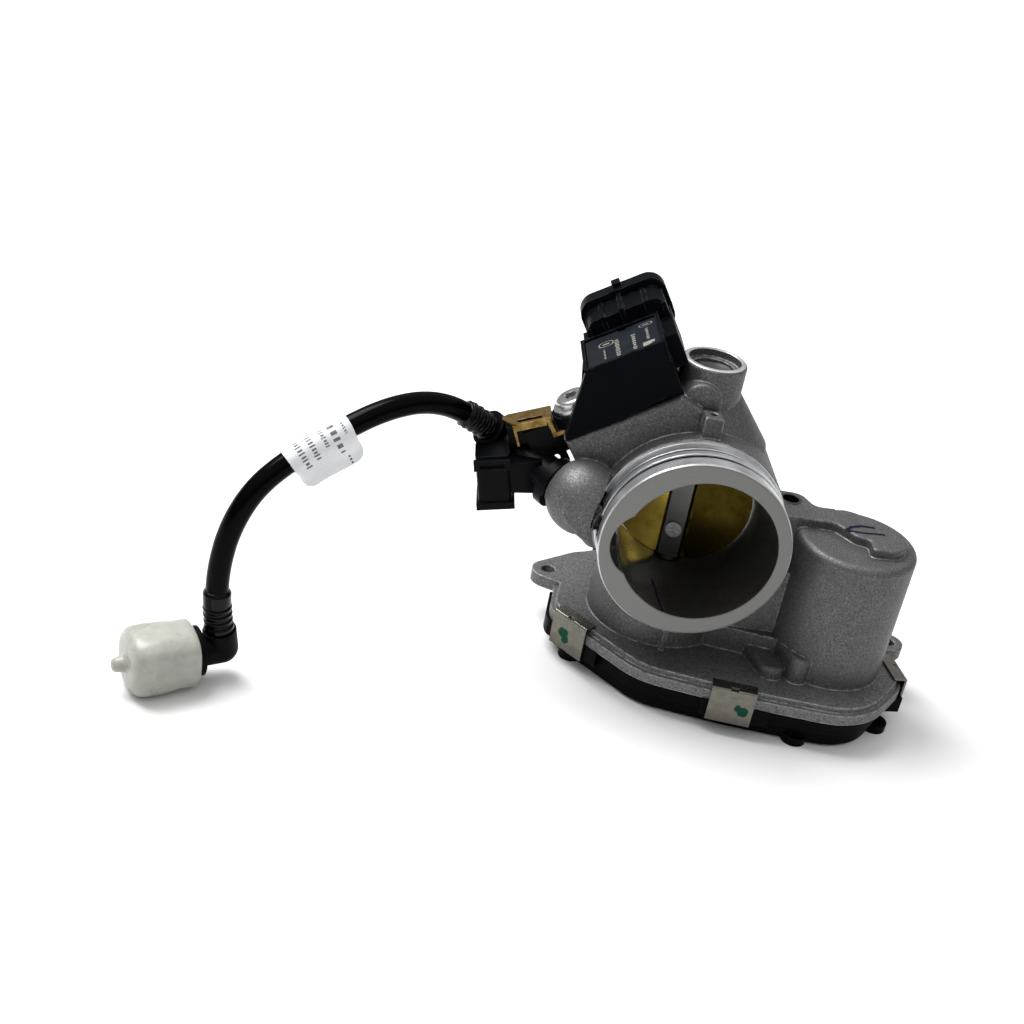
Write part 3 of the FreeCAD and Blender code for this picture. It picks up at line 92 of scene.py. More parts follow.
# ---------------------------------------------------------------- shader writing
class Look:
    """A node material with one Principled shader. Texture lengths are given in millimetres."""

    def __init__(self, name):
        self.material = bpy.data.materials.new(name)
        self.material.use_nodes = True
        self.tree = self.material.node_tree
        self.tree.nodes.clear()
        output = self.tree.nodes.new("ShaderNodeOutputMaterial")
        self.shader = self.tree.nodes.new("ShaderNodeBsdfPrincipled")
        self.tree.links.new(self.shader.outputs[0], output.inputs["Surface"])
        self.at = self.add("ShaderNodeTexCoord").outputs["Object"]
        parts = self.add("ShaderNodeSeparateXYZ", {0: self.at})
        self.x, self.y, self.z = (self.math("MULTIPLY", out, 1000) for out in parts.outputs)

    def add(self, kind, inputs=None, **settings):
        """A new node; inputs are values or links, settings are its properties."""
        made = self.tree.nodes.new(kind)
        for key, value in settings.items():
            setattr(made, key, value)
        for key, value in (inputs or {}).items():
            if isinstance(value, bpy.types.NodeSocket):
                self.tree.links.new(value, made.inputs[key])
            else:
                made.inputs[key].default_value = value
        return made

    def math(self, operation, a, b=0.0):
        return self.add("ShaderNodeMath", {0: a, 1: b}, operation=operation).outputs[0]

    def noise(self, size, detail=2.0, roughness=0.5, at=None):
        """Noise between 0 and 1 whose features are about size millimetres."""
        return self.add("ShaderNodeTexNoise", {"Vector": at or self.at, "Scale": 1000 / size,
                                               "Detail": detail,
                                               "Roughness": roughness}).outputs["Fac"]

    def cells(self, size):
        """Distance to the nearest of scattered points that lie about size millimetres apart."""
        return self.add("ShaderNodeTexVoronoi", {"Vector": self.at, "Scale": 1000 / size,
                                                 "Randomness": 1.0}).outputs["Distance"]

    def step(self, value, low, high, start=0.0, end=1.0):
        """start where value is below low, end above high, and a straight ramp between."""
        return self.add("ShaderNodeMapRange", {"Value": value, "From Min": low, "From Max": high,
                                               "To Min": start, "To Max": end}).outputs[0]

    def mix(self, factor, a, b):
        """Colour a where factor is 0 and colour b where it is 1."""
        blend = self.add("ShaderNodeMix", {"Factor": factor}, data_type="RGBA")
        for socket, value in ((blend.inputs[6], a), (blend.inputs[7], b)):
            if isinstance(value, bpy.types.NodeSocket):
                self.tree.links.new(value, socket)
            else:
                socket.default_value = (*value, 1.0)
        return blend.outputs[2]

    def lerp(self, factor, a, b):
        """Number a where factor is 0 and number b where it is 1."""
        return self.add("ShaderNodeMix", {"Factor": factor, 2: a, 3: b},
                        data_type="FLOAT").outputs[0]

    def distance(self, a, b, at_a=0.0, at_b=0.0):
        """How far the point (a, b) is from (at_a, at_b)."""
        da = self.math("SUBTRACT", a, at_a)
        db = self.math("SUBTRACT", b, at_b)
        return self.math("SQRT", self.math("ADD", self.math("MULTIPLY", da, da),
                                           self.math("MULTIPLY", db, db)))

    def within(self, value, middle, half, blur=0.08):
        """1 where value is closer to middle than half."""
        off = self.math("ABSOLUTE", self.math("SUBTRACT", value, middle))
        return self.step(off, half, half + blur, 1, 0)

    def both(self, *masks):
        """1 where every mask is 1."""
        covered = masks[0]
        for mask in masks[1:]:
            covered = self.math("MULTIPLY", covered, mask)
        return covered

    def either(self, *masks):
        """1 where any mask is 1."""
        covered = masks[0]
        for mask in masks[1:]:
            covered = self.math("MAXIMUM", covered, mask)
        return covered

    def print_line(self, across, along, at, half, start, end, pitch, seed=0.0):
        """A column of uneven little bars, standing for a line of print."""
        row = self.math("FLOOR", self.math("DIVIDE", along, pitch))
        part = self.math("FRACT", self.math("DIVIDE", along, pitch))
        odd = self.add("ShaderNodeTexWhiteNoise", {"W": self.math("ADD", row, seed)},
                       noise_dimensions="1D").outputs["Value"]
        wide = self.math("MULTIPLY", self.step(odd, 0, 1, 0.55, 1.0), half)
        off = self.math("ABSOLUTE", self.math("SUBTRACT", across, at))
        body = self.math("LESS_THAN", off, wide)
        filled = self.math("LESS_THAN", part, self.step(odd, 0, 1, 0.66, 0.40))
        middle, reach = (start + end) / 2, (end - start) / 2
        return self.both(body, filled, self.within(along, middle, reach, 0.02))

    def rounded(self, radius):
        """Normal as if every edge were rounded by radius millimetres."""
        return self.add("ShaderNodeBevel", {"Radius": radius * MM}, samples=6).outputs[0]

    def edges(self, radius):
        """1 close to an edge, 0 away from it."""
        true_normal = self.add("ShaderNodeNewGeometry").outputs["True Normal"]
        bent = self.add("ShaderNodeVectorMath", {0: self.rounded(radius), 1: true_normal},
                        operation="DOT_PRODUCT").outputs["Value"]
        return self.step(bent, 0.995, 0.86)

    def bump(self, height, strength, depth, normal=None):
        """Normal roughened by height, up to depth millimetres deep."""
        made = self.add("ShaderNodeBump", {"Height": height, "Strength": strength,
                                           "Distance": depth * MM})
        if normal:
            self.tree.links.new(normal, made.inputs["Normal"])
        return made.outputs[0]

    def finish(self, **inputs):
        """Set the shader's inputs, with _ for each space in their names."""
        for key, value in inputs.items():
            socket = self.shader.inputs[key.replace("_", " ")]
            if isinstance(value, bpy.types.NodeSocket):
                self.tree.links.new(value, socket)
            elif isinstance(value, tuple) and socket.type == "RGBA":
                socket.default_value = (*value, 1.0)
            else:
                socket.default_value = value
        return self.material


# ---------------------------------------------------------------- materials
def stroke(look, points, half_width):
    """1 along a hand-drawn line through (x, y) points in millimetres."""
    covered = 0.0
    wobble = look.step(look.noise(1.6, 3), 0.3, 0.7, -0.14, 0.14)
    for (x0, y0), (x1, y1) in zip(points, points[1:]):
        length = math.hypot(x1 - x0, y1 - y0)
        ux, uy = (x1 - x0) / length, (y1 - y0) / length
        dx = look.math("SUBTRACT", look.x, x0)
        dy = look.math("SUBTRACT", look.y, y0)
        along = look.math("ADD", look.math("MULTIPLY", dx, ux), look.math("MULTIPLY", dy, uy))
        across = look.math("SUBTRACT", look.math("MULTIPLY", dx, uy), look.math("MULTIPLY", dy, ux))
        past = look.math("ABSOLUTE", look.math("SUBTRACT", along, length / 2))
        past = look.math("MAXIMUM", look.math("SUBTRACT", past, length / 2), 0.0)
        reach = look.distance(across, past)
        line = look.step(look.math("ADD", reach, wobble), half_width, half_width + 0.15, 1, 0)
        covered = look.math("MAXIMUM", line, covered)
    return covered


def cast_aluminium():
    """Sand-blasted die casting, with turned spigots, bore and tower rim, and two marker strokes."""
    look = Look("cast_aluminium")
    reach = look.distance(look.x, look.z)
    near_axis = look.step(reach, BAND_R - 0.03, BAND_R + 0.03, 1, 0)
    off_shaft = look.math("ABSOLUTE", look.math("SUBTRACT", look.y, SHAFT_Y))
    bands = look.both(near_axis, look.step(off_shaft, 19.75, 19.8))
    bore = look.step(look.distance(look.x, look.z, BORE_SHIFT), BORE_R - 0.05, BORE_R + 0.05, 1, 0)
    bore = look.both(bore, look.step(off_shaft, 33.95, 33.9))
    face = look.both(look.step(off_shaft, 33.9, 33.95), near_axis)
    tower = look.both(look.step(look.z, 44.3, 44.35),
                      look.step(look.distance(look.x, look.y, 0, SHAFT_Y), 9.0, 9.2, 1, 0))
    below = look.step(look.z, COVER_JOINT_Z, COVER_JOINT_Z - 0.05)
    polished = look.both(bore, look.step(look.x, -3.0, -9.0))
    sandy = look.both(bore, look.math("SUBTRACT", 1.0, polished))
    machined = look.either(bands, bore, face, tower, below)
    smooth = look.math("SUBTRACT", machined, sandy)

    grain = look.noise(0.55, 4, 0.65)
    pits = look.cells(0.8)
    # painted glints: bright specks in the casting's colour stand in for glinting grains
    glint = look.step(look.noise(0.30, 2, 0.6), 0.64, 0.72)
    blotch = look.noise(8, 4, 0.6)
    edge = look.both(look.edges(0.8), look.step(look.noise(2.2, 3), 0.36, 0.62))
    cast = look.mix(look.step(grain, 0.32, 0.72), (0.060, 0.060, 0.062), (0.165, 0.165, 0.168))
    cast = look.mix(look.step(blotch, 0.38, 0.7, 0.0, 0.5), cast, (0.075, 0.074, 0.070))
    # painted glints, more of them towards the top, as if lit from above
    painted_glint_mask = look.both(glint, look.step(look.z, -44, 40, 0.6, 0.9))
    cast = look.mix(painted_glint_mask, cast, (0.46, 0.46, 0.47))
    # painted light: the casting is lightened below z = -38 mm, on the flange that lies in the bore's
    # shade
    flange_painted_light = look.both(look.step(look.z, -38, -41, 0, 0.5), look.step(grain, 0.35, 0.65))
    cast = look.mix(flange_painted_light, cast, (0.24, 0.24, 0.245))
    cast = look.mix(look.math("MULTIPLY", edge, 0.65), cast, (0.52, 0.52, 0.53))

    around = look.add("ShaderNodeCombineXYZ", {
        0: look.math("MULTIPLY", reach, 0.004), 1: look.math("MULTIPLY", look.y, 0.004)}).outputs[0]
    rings = look.noise(1.0, 3, at=around)
    smear = look.noise(12, 3, 0.6)
    turned = look.mix(look.step(rings, 0.3, 0.7), (0.42, 0.425, 0.435), (0.88, 0.885, 0.90))
    turned = look.mix(look.step(smear, 0.4, 0.75, 0.0, 0.6), turned, (0.17, 0.17, 0.175))
    # painted shade: the groove inside the spigot bands is painted dark
    groove_painted_shade = look.both(bands, look.step(reach, 27.0, 27.05, 1, 0))
    turned = look.mix(groove_painted_shade, turned, (0.11, 0.11, 0.112))
    flat = look.mix(look.step(rings, 0.3, 0.7), (0.150, 0.150, 0.144), (0.190, 0.190, 0.183))
    dark = look.mix(look.step(rings, 0.3, 0.7), (0.075, 0.075, 0.068), (0.13, 0.13, 0.118))
    turned = look.mix(face, turned, flat)
    # painted glints on the sandy part of the bore
    dark = look.mix(look.both(sandy, glint), dark, (0.30, 0.30, 0.31))
    dark = look.mix(polished, dark, (0.30, 0.30, 0.29))
    turned = look.mix(bore, turned, dark)
    colour = look.mix(machined, cast, turned)

    tick = look.either(
        stroke(look, [(46.9, 18.3), (49.2, 20.6), (52.4, 22.0), (55.9, 21.9)], 0.55),
        stroke(look, [(46.9, 18.3), (51.4, 17.7), (58.3, 18.4)], 0.50))
    tick = look.both(tick, look.step(look.z, 3.3, 3.6))
    dash = look.both(stroke(look, [(-6.9, 15.6), (-6.1, 8.5), (-5.0, 0.9)], 0.42),
                     look.step(look.z, -13, -14), look.step(reach, 23.0, 23.1, 1, 0))
    ink = look.math("MAXIMUM", tick, dash)
    colour = look.mix(look.math("MULTIPLY", ink, 0.97), colour, (0.0025, 0.0025, 0.018))

    rough = look.lerp(machined, look.step(grain, 0.3, 0.8, 0.62, 0.42),
                      look.step(rings, 0.2, 0.8, 0.26, 0.40))
    rough = look.lerp(face, rough, look.step(rings, 0.2, 0.8, 0.42, 0.55))
    rough = look.lerp(polished, rough, 0.14)
    relief = look.math("ADD", look.math("MULTIPLY", grain, 0.7),
                       look.math("MULTIPLY", look.step(pits, 0.0, 0.5), 0.5))
    relief = look.lerp(smooth, relief, look.math("MULTIPLY", rings, 0.25))
    normal = look.bump(relief, 0.75, 0.10, look.rounded(0.8))
    metal = look.lerp(ink, look.lerp(machined, 0.70, 0.85), 0.0)
    rough = look.lerp(ink, rough, 0.5)
    return look.finish(Base_Color=colour, Metallic=metal, Roughness=rough, Normal=normal,
                       Specular_IOR_Level=look.lerp(ink, 0.5, 0.05))


def steel(name, tone, roughness, grain=0.5, warm=0.0, contrast=0.28):
    """Turned or rolled steel with fine streaks and a little tarnish."""
    look = Look(name)
    streaks = look.noise(grain, 4, 0.7)
    tarnish = look.noise(5, 3)
    light = (tone, tone * (1 - 0.02 * warm), tone * (1 - 0.10 * warm))
    dark = tuple(c * (1 - contrast) for c in light)
    colour = look.mix(look.step(streaks, 0.3, 0.75), dark, light)
    colour = look.mix(look.step(tarnish, 0.5, 0.8, 0, 0.35), colour, tuple(c * 0.6 for c in light))
    rough = look.step(streaks, 0.2, 0.8, roughness + 0.1, roughness - 0.05)
    normal = look.bump(streaks, 0.5 * contrast, 0.02, look.rounded(0.22))
    return look.finish(Base_Color=colour, Metallic=1.0, Roughness=rough, Normal=normal)


def clip_steel():
    """Bright stainless strip with dabs of green inspection paint."""
    look = Look("clip_steel")
    roll = look.noise(2.4, 3, 0.5)
    stain_and_painted_reflection = look.noise(4.5, 4, 0.6)
    colour = look.mix(look.step(roll, 0.2, 0.8), (0.125, 0.118, 0.10), (0.19, 0.18, 0.155))
    colour = look.mix(look.step(stain_and_painted_reflection, 0.50, 0.75, 0, 0.5), colour, (0.15, 0.14, 0.12))
    # painted shade: the clips are darkened towards the bottom
    low = look.step(look.z, -47.5, -51.5, 0.0, 0.45)
    colour = look.mix(low, colour, (0.06, 0.055, 0.045))
    dabs = 0.0
    for x, y, lift, size in ((24.0, -7.6, -46.8, 1.5), (22.4, -7.4, -46.2, 0.9),
                             (-28.9, 21.5, -46.2, 1.7), (-28.0, 20.4, -48.0, 1.3)):
        near = look.distance(look.distance(look.x, look.y, x, y), look.math("SUBTRACT", look.z, lift))
        near = look.math("ADD", near, look.step(stain_and_painted_reflection, 0.2, 0.8, -0.9, 0.9))
        dabs = look.math("MAXIMUM", look.step(near, size, size + 0.3, 1, 0), dabs)
    colour = look.mix(dabs, colour, (0.002, 0.050, 0.026))
    rough = look.lerp(dabs, look.step(roll, 0.2, 0.8, 0.34, 0.20), 0.5)
    normal = look.bump(stain_and_painted_reflection, 0.10, 0.05, look.rounded(0.25))
    return look.finish(Base_Color=colour, Metallic=look.lerp(dabs, 1.0, 0.0), Roughness=rough,
                       Normal=normal, Specular_IOR_Level=look.lerp(dabs, 0.5, 0.08))


def yellow(name, light, dark, roughness, patches, stain_and_painted_reflection=None):
    """Passivated steel or rolled brass: warm metal, mottled and scratched; when an x is given, painted
    dark beyond it as a painted dark reflection.
    """
    look = Look(name)
    cloud = look.noise(patches, 4, 0.6)
    scratch = look.noise(0.35, 3, 0.8)
    colour = look.mix(look.step(cloud, 0.35, 0.68), dark, light)
    # painted dark reflection: past the given x the metal is painted nearly black, standing in for dark
    # surroundings reflected in it
    if stain_and_painted_reflection is not None:
        edge = look.math("ADD", look.x, look.step(cloud, 0.2, 0.8, -3.0, 3.0))
        colour = look.mix(look.step(edge, stain_and_painted_reflection - 3, stain_and_painted_reflection + 5, 0.0, 0.965), colour,
                          (0.010, 0.0070, 0.0006))
    rough = look.step(cloud, 0.3, 0.7, roughness + 0.12, roughness - 0.04)
    normal = look.bump(scratch, 0.12, 0.03, look.rounded(0.2))
    return look.finish(Base_Color=colour, Metallic=1.0, Roughness=rough, Normal=normal)


def plastic(name, tone, roughness, grain=0.35, relief=0.25, scuff_and_edge_highlight=0.03, shine=0.10):
    """Moulded plastic: spark-eroded grain, paler edges that are partly scuffs and partly a painted
    edge highlight, and faint flow marks.
    """
    look = Look(name)
    texture = look.noise(grain, 3, 0.6)
    flow = look.noise(11, 3, 0.5)
    # paler edges: partly scuffs, partly a painted edge highlight
    edge = look.math("MULTIPLY", look.edges(0.5), look.step(look.noise(3, 3), 0.4, 0.62))
    dark = tuple(c * 0.7 for c in tone)
    pale = tuple(min(1.0, c + scuff_and_edge_highlight) for c in tone)
    colour = look.mix(look.step(flow, 0.3, 0.7), dark, tone)
    colour = look.mix(look.math("MULTIPLY", edge, 0.8), colour, pale)
    rough = look.math("ADD", look.step(flow, 0.3, 0.7, roughness - 0.05, roughness + 0.07),
                      look.step(texture, 0.3, 0.7, -0.03, 0.03))
    normal = look.bump(texture, relief, 0.05, look.rounded(0.35))
    return look.finish(Base_Color=colour, Roughness=rough, Normal=normal,
                       Specular_IOR_Level=shine)


def marked_lid():
    """Sensor lid: slate moulding with pale laser marks, all of them plain shapes."""
    look = Look("marked_lid")
    dx = look.math("SUBTRACT", look.x, SENSOR_EDGE[0])
    dz = look.math("SUBTRACT", look.z, SENSOR_EDGE[1])
    a = look.math("ADD", look.math("MULTIPLY", dx, math.cos(SENSOR_TILT)),
                  look.math("MULTIPLY", dz, math.sin(SENSOR_TILT)))
    b = look.y
    texture = look.noise(0.3, 3, 0.6)
    flow = look.noise(6, 3)
    colour = look.mix(look.step(flow, 0.3, 0.7), (0.0055, 0.0075, 0.0105), (0.009, 0.012, 0.016))

    def loop(at_a, at_b, half_a, half_b):
        """A plain rounded ring with a bar inside it."""
        da = look.math("DIVIDE", look.math("SUBTRACT", a, at_a), half_a)
        db = look.math("DIVIDE", look.math("SUBTRACT", b, at_b), half_b)
        out = look.math("ADD", look.math("POWER", look.math("ABSOLUTE", da), 2.6),
                        look.math("POWER", look.math("ABSOLUTE", db), 2.6))
        ring = look.within(out, 1.0, 0.16, 0.05)
        core = look.both(look.within(da, 0, 0.45, 0.05), look.within(db, 0, 0.18, 0.05))
        return look.either(ring, core)

    slope = look.math("ADD", look.math("MULTIPLY", look.math("SUBTRACT", a, 5.2), 0.55), 21.0)
    triangle = look.both(look.step(look.math("SUBTRACT", b, slope), 0.0, 0.05),
                         look.within(a, 6.8, 1.7, 0.03), look.step(b, 24.2, 24.25, 1, 0))
    marks = look.either(loop(-5.2, 33.0, 2.1, 1.6), loop(6.9, 36.3, 1.9, 1.1), triangle,
                        look.print_line(a, b, -6.0, 0.34, 22.8, 29.6, 1.05),
                        look.print_line(a, b, -2.1, 0.80, 21.6, 33.6, 1.05, 7.0),
                        look.print_line(a, b, 2.8, 0.70, 22.2, 33.4, 1.45, 3.0),
                        look.print_line(a, b, 6.9, 0.50, 25.8, 33.8, 0.85, 11.0))
    worn = look.step(look.noise(0.8, 3, 0.6), 0.25, 0.55, 0.35, 0.95)
    marks = look.math("MULTIPLY", marks, worn)
    colour = look.mix(marks, colour, (0.24, 0.235, 0.205))
    rough = look.math("ADD", look.step(flow, 0.3, 0.7, 0.50, 0.58), look.math("MULTIPLY", marks, 0.1))
    normal = look.bump(texture, 0.3, 0.05, look.rounded(0.3))
    return look.finish(Base_Color=colour, Roughness=rough, Normal=normal,
                       Specular_IOR_Level=0.06)


def rubber(name, tone, roughness, shine=0.10):
    """Extruded hose rubber: glossy, with faint long waves and dust."""
    look = Look(name)
    wave = look.noise(6, 3, 0.5)
    dust = look.noise(0.5, 5, 0.7)
    colour = look.mix(look.step(dust, 0.58, 0.8, 0, 0.4), tone, tuple(c + 0.003 for c in tone))
    rough = look.math("ADD", look.step(wave, 0.3, 0.7, roughness, roughness + 0.12),
                      look.step(dust, 0.5, 0.8, 0, 0.1))
    height = look.math("ADD", wave, look.math("MULTIPLY", dust, 0.06))
    return look.finish(Base_Color=colour, Roughness=rough,
                       Normal=look.bump(height, 0.3, 0.2), Specular_IOR_Level=shine)


def milky():
    """Flexible white cap plastic that lets some light through, with finger marks and painted shade
    towards the bottom.
    """
    look = Look("cap_plastic")
    cloud = look.noise(7, 4, 0.6)
    fine = look.noise(0.8, 4, 0.6)
    dirt = look.step(look.noise(3, 5, 0.75), 0.42, 0.85, 0, 0.6)
    # painted shade: the cap is darkened towards its bottom
    low = look.step(look.z, -42, -57, 0, 0.6)
    colour = look.mix(look.step(cloud, 0.3, 0.7), (0.325, 0.328, 0.295), (0.385, 0.388, 0.352))
    colour = look.mix(low, colour, (0.20, 0.20, 0.17))
    colour = look.mix(dirt, colour, (0.21, 0.205, 0.17))
    rough = look.step(cloud, 0.3, 0.7, 0.22, 0.38)
    height = look.math("ADD", look.math("MULTIPLY", cloud, 0.8), look.math("MULTIPLY", fine, 0.12))
    return look.finish(Base_Color=colour, Roughness=rough, Subsurface_Weight=0.25,
                       Subsurface_Scale=0.003, Subsurface_Radius=(1.0, 0.95, 0.8),
                       Specular_IOR_Level=0.4, Normal=look.bump(height, 0.45, 0.5))


def paper():
    """Label paper: thin, slightly creased, with rows of plain bars where print would be."""
    look = Look("label_paper")
    strip = look.add("ShaderNodeSeparateXYZ", {0: look.add("ShaderNodeUVMap").outputs[0]})
    along = look.math("MULTIPLY", strip.outputs[0], 100)
    down = look.math("MULTIPLY", strip.outputs[1], 100)
    fibre = look.noise(0.5, 4, 0.7)
    crease = look.noise(5, 3, 0.5)
    colour = look.mix(look.step(fibre, 0.3, 0.7), (0.62, 0.63, 0.65), (0.70, 0.71, 0.72))
    ink = look.either(*(look.print_line(along, down, *line) for line in (
        (2.2, 0.50, 7.0, 10.6, 0.80, 2.0), (5.3, 1.15, 5.4, 14.8, 2.05, 5.0),
        (8.3, 0.80, 4.8, 11.6, 0.85, 9.0), (12.0, 0.95, 4.2, 13.4, 1.00, 1.0),
        (15.4, 0.95, 4.0, 14.6, 1.05, 6.0), (4.4, 0.50, 16.0, 18.6, 0.95, 4.0))))
    ink = look.math("MULTIPLY", ink, look.step(fibre, 0.25, 0.6, 0.6, 0.95))
    colour = look.mix(ink, colour, (0.035, 0.035, 0.04))
    height = look.math("ADD", crease, look.math("MULTIPLY", fibre, 0.1))
    return look.finish(Base_Color=colour, Roughness=look.step(fibre, 0.3, 0.7, 0.5, 0.62),
                       Normal=look.bump(height, 0.4, 0.5), Specular_IOR_Level=0.3)


def floor_look():
    """Pale matt floor that fades into the white backdrop away from the object."""
    look = Look("studio_floor")
    haze = look.noise(120, 2)
    colour = look.mix(haze, (0.80, 0.80, 0.80), (0.83, 0.83, 0.83))
    far_off = look.step(look.distance(look.x, look.y, -50, 20), 260, 900, 0.0, 0.38)
    return look.finish(Base_Color=colour, Roughness=look.step(haze, 0, 1, 0.85, 0.95),
                       Emission_Color=(1.0, 1.0, 1.0), Emission_Strength=far_off)


def wear(node, material):
    """Give a CAD node its finish."""
    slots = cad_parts[node].data.materials
    slots.clear()
    slots.append(material)


def dress_cad_nodes():
    """Every CAD node's finish. The soft parts and the cap are replaced further down."""
    bright = steel("turned_steel", 0.42, 0.24)
    dull = steel("plug_steel", 0.11, 0.30, grain=2.0, contrast=0.35)
    zinc_plate = steel("screw_zinc", 0.50, 0.27, grain=3.0, contrast=0.12)
    ground = steel("ground_steel", 0.12, 0.34, grain=0.3, warm=0.5)
    # the plate's right half is painted dark: a painted dark reflection that turns with the plate
    brass = yellow("plate_brass", (0.95, 0.70, 0.14), (0.42, 0.29, 0.035), 0.20, 7, stain_and_painted_reflection=-1.5)
    zinc = yellow("yellow_passivate", (0.27, 0.18, 0.06), (0.10, 0.06, 0.015), 0.32, 2.5)
    black = plastic("black_moulding", (0.0018, 0.0018, 0.0022), 0.46, scuff_and_edge_highlight=0.012, shine=0.045)
    # the sensor moulding's edges carry the strongest painted edge highlight
    sensor_black = plastic("sensor_moulding", (0.0022, 0.0026, 0.0042), 0.44, scuff_and_edge_highlight=0.040,
                           shine=0.03)
    glossy = plastic("glossy_moulding", (0.0016, 0.0018, 0.0026), 0.32, relief=0.12, scuff_and_edge_highlight=0.010,
                     shine=0.06)
    gear = plastic("gear_plastic", (0.62, 0.58, 0.45), 0.40, relief=0.1)
    green = plastic("circuit_board", (0.02, 0.14, 0.06), 0.35, relief=0.1)
    seal = rubber("seal_rubber", (0.02, 0.016, 0.015), 0.45)
    looks = {
        cast_aluminium(): ("housing",),
        bright: ("upper_bearing", "lower_bearing", "motor_can", "motor_screws", "sensor_bush",
                 "injector_body", "idler_pin", "motor_shaft"),
        dull: ("shaft_plug", "mount_bush"),
        zinc_plate: ("sensor_screw", "plate_screws"),
        ground: ("throttle_shaft", "motor_armature", "sensor_magnet", "motor_magnets"),
        clip_steel(): ("cover_clips", "return_spring", "motor_wave_spring"),
        brass: ("throttle_plate", "motor_pinion", "motor_bearing", "cover_terminals",
                "sensor_terminals", "injector_terminals"),
        zinc: ("fuel_clip",),
        black: ("gear_cover", "spring_guide", "motor_end_cap", "elbow_connector"),
        sensor_black: ("sensor_body",),
        marked_lid(): ("sensor_lid",),
        glossy: ("injector_connector", "fuel_cap"),
        gear: ("sector_gear", "idler_gear"),
        green: ("position_sensor", "sensor_board"),
        seal: ("shaft_seal", "cover_gasket", "sensor_seal", "injector_seals", "connector_seals"),
    }
    for material, nodes in looks.items():
        for node in nodes:
            wear(node, material)


# ---------------------------------------------------------------- fuel hose
HOSE_R = 3.2 * MM
HOSE_ROUTE = [(-0.0609, 0.0326, 0.0136), (-0.0684, 0.0284, 0.0199), (-0.0791, 0.0224, 0.0242),
              (-0.0903, 0.0160, 0.0229), (-0.1018, 0.0095, 0.0174), (-0.1143, 0.0024, 0.0099),
              (-0.1224, -0.0022, 0.0022), (-0.1275, -0.0051, -0.0089),
              (-0.1296, -0.0063, -0.0212), (-0.1296, -0.0063, -0.0326),
              (-0.1284, -0.0056, -0.0416)]


def hose_curve(name, bevel):
    """The hose's route as one smooth spline; bevel is the hose's radius, or 0 for the bare line."""
    curve = bpy.data.curves.new(name, "CURVE")
    curve.dimensions = "3D"
    spline = curve.splines.new("NURBS")
    spline.points.add(len(HOSE_ROUTE) - 1)
    for point, place in zip(spline.points, HOSE_ROUTE):
        point.co = (*place, 1.0)
    spline.order_u = 3
    spline.use_endpoint_u = True
    spline.resolution_u = 16
    curve.bevel_depth = bevel
    curve.bevel_resolution = 8
    curve.use_fill_caps = True
    made = bpy.data.objects.new(name, curve)
    bpy.context.scene.collection.objects.link(made)
    return made


def fuel_hose():
    """The hose itself, one smooth tube from the injector's cap to the connector."""
    hose = hose_curve("hose", HOSE_R)
    hose.data.materials.append(rubber("hose_rubber", (0.0006, 0.0006, 0.0009), 0.11, shine=0.045))
    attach(hose, "root")
    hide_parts("fuel_hose")


def hose_stations():
    """Points of the hose's middle line, read from its spline, with their distance from its start."""
    bare = hose_curve("hose_line", 0.0)
    bpy.context.view_layer.update()
    mesh = bpy.data.meshes.new_from_object(bare)
    line = [vertex.co.copy() for vertex in mesh.vertices]
    curve = bare.data
    bpy.data.objects.remove(bare)
    bpy.data.curves.remove(curve)
    bpy.data.meshes.remove(mesh)
    gone, stations = 0.0, [(0.0, line[0])]
    for a, b in zip(line, line[1:]):
        gone += (b - a).length
        stations.append((gone, b))
    return stations


def hose_frame(stations, distance):
    """The point at a distance along the hose, with its directions to the front and upwards."""
    for (s0, a), (s1, b) in zip(stations, stations[1:]):
        if distance <= s1 or s1 == stations[-1][0]:
            heading = (b - a).normalized()
            place = a + heading * (distance - s0)
            front = heading.cross(Vector((0.2, 0.35, 1.0))).normalized()
            front = front if front.y < 0 else -front
            over = front.cross(heading)
            return place, front, over if over.z > 0 else -over


def mesh_piece(name, rings, material, closed=True, uvs=None):
    """A smooth surface through rings of points; closed rings are loops, with capped ends."""
    width = len(rings[0])
    corners = [tuple(p) for points in rings for p in points]
    across = width if closed else width - 1
    faces = [(i * width + j, i * width + (j + 1) % width, (i + 1) * width + (j + 1) % width,
              (i + 1) * width + j) for i in range(len(rings) - 1) for j in range(across)]
    if closed:
        faces.append(tuple(range(width))[::-1])
        faces.append(tuple((len(rings) - 1) * width + j for j in range(width)))
    mesh = bpy.data.meshes.new(name)
    mesh.from_pydata(corners, [], faces)
    if uvs:
        layer = mesh.uv_layers.new(name="strip")
        for loop in mesh.loops:
            layer.data[loop.index].uv = uvs[loop.vertex_index]
    mesh.polygons.foreach_set("use_smooth", [True] * len(mesh.polygons))
    mesh.materials.append(material)
    mesh.update()
    made = bpy.data.objects.new(name, mesh)
    bpy.context.scene.collection.objects.link(made)
    return made


SLEEVE_R = 3.25                      # where a sleeve starts, just outside the hose, mm
NET_ROW = 1.25                       # from one row of the net's pads to the next, mm
NET_PADS = 8                         # pads round the hose
CUFF_RIB = 2.1                       # from one rib of the cuff to the next, mm
CUFF_TOP = 4.6                       # length of the cuff's smooth top, mm
CUFF_R = 4.2                         # the widest that the cuff may be, mm
RING_GAP = 0.16 * MM
RING_POINTS = 40


def sleeve_rings(stations, start, end, profile):
    """Rings round the hose between two distances; profile gives the radius in millimetres."""
    rings = []
    count = int((end - start) / RING_GAP)
    for i in range(count + 1):
        s = start + (end - start) * i / count
        place, front, over = hose_frame(stations, s)
        ring = []
        for k in range(RING_POINTS):
            angle = 2 * math.pi * k / RING_POINTS
            r = profile((s - start) / MM, (end - start) / MM, angle) * MM
            ring.append(place + (front * math.cos(angle) + over * math.sin(angle)) * r)
        rings.append(ring)
    return rings


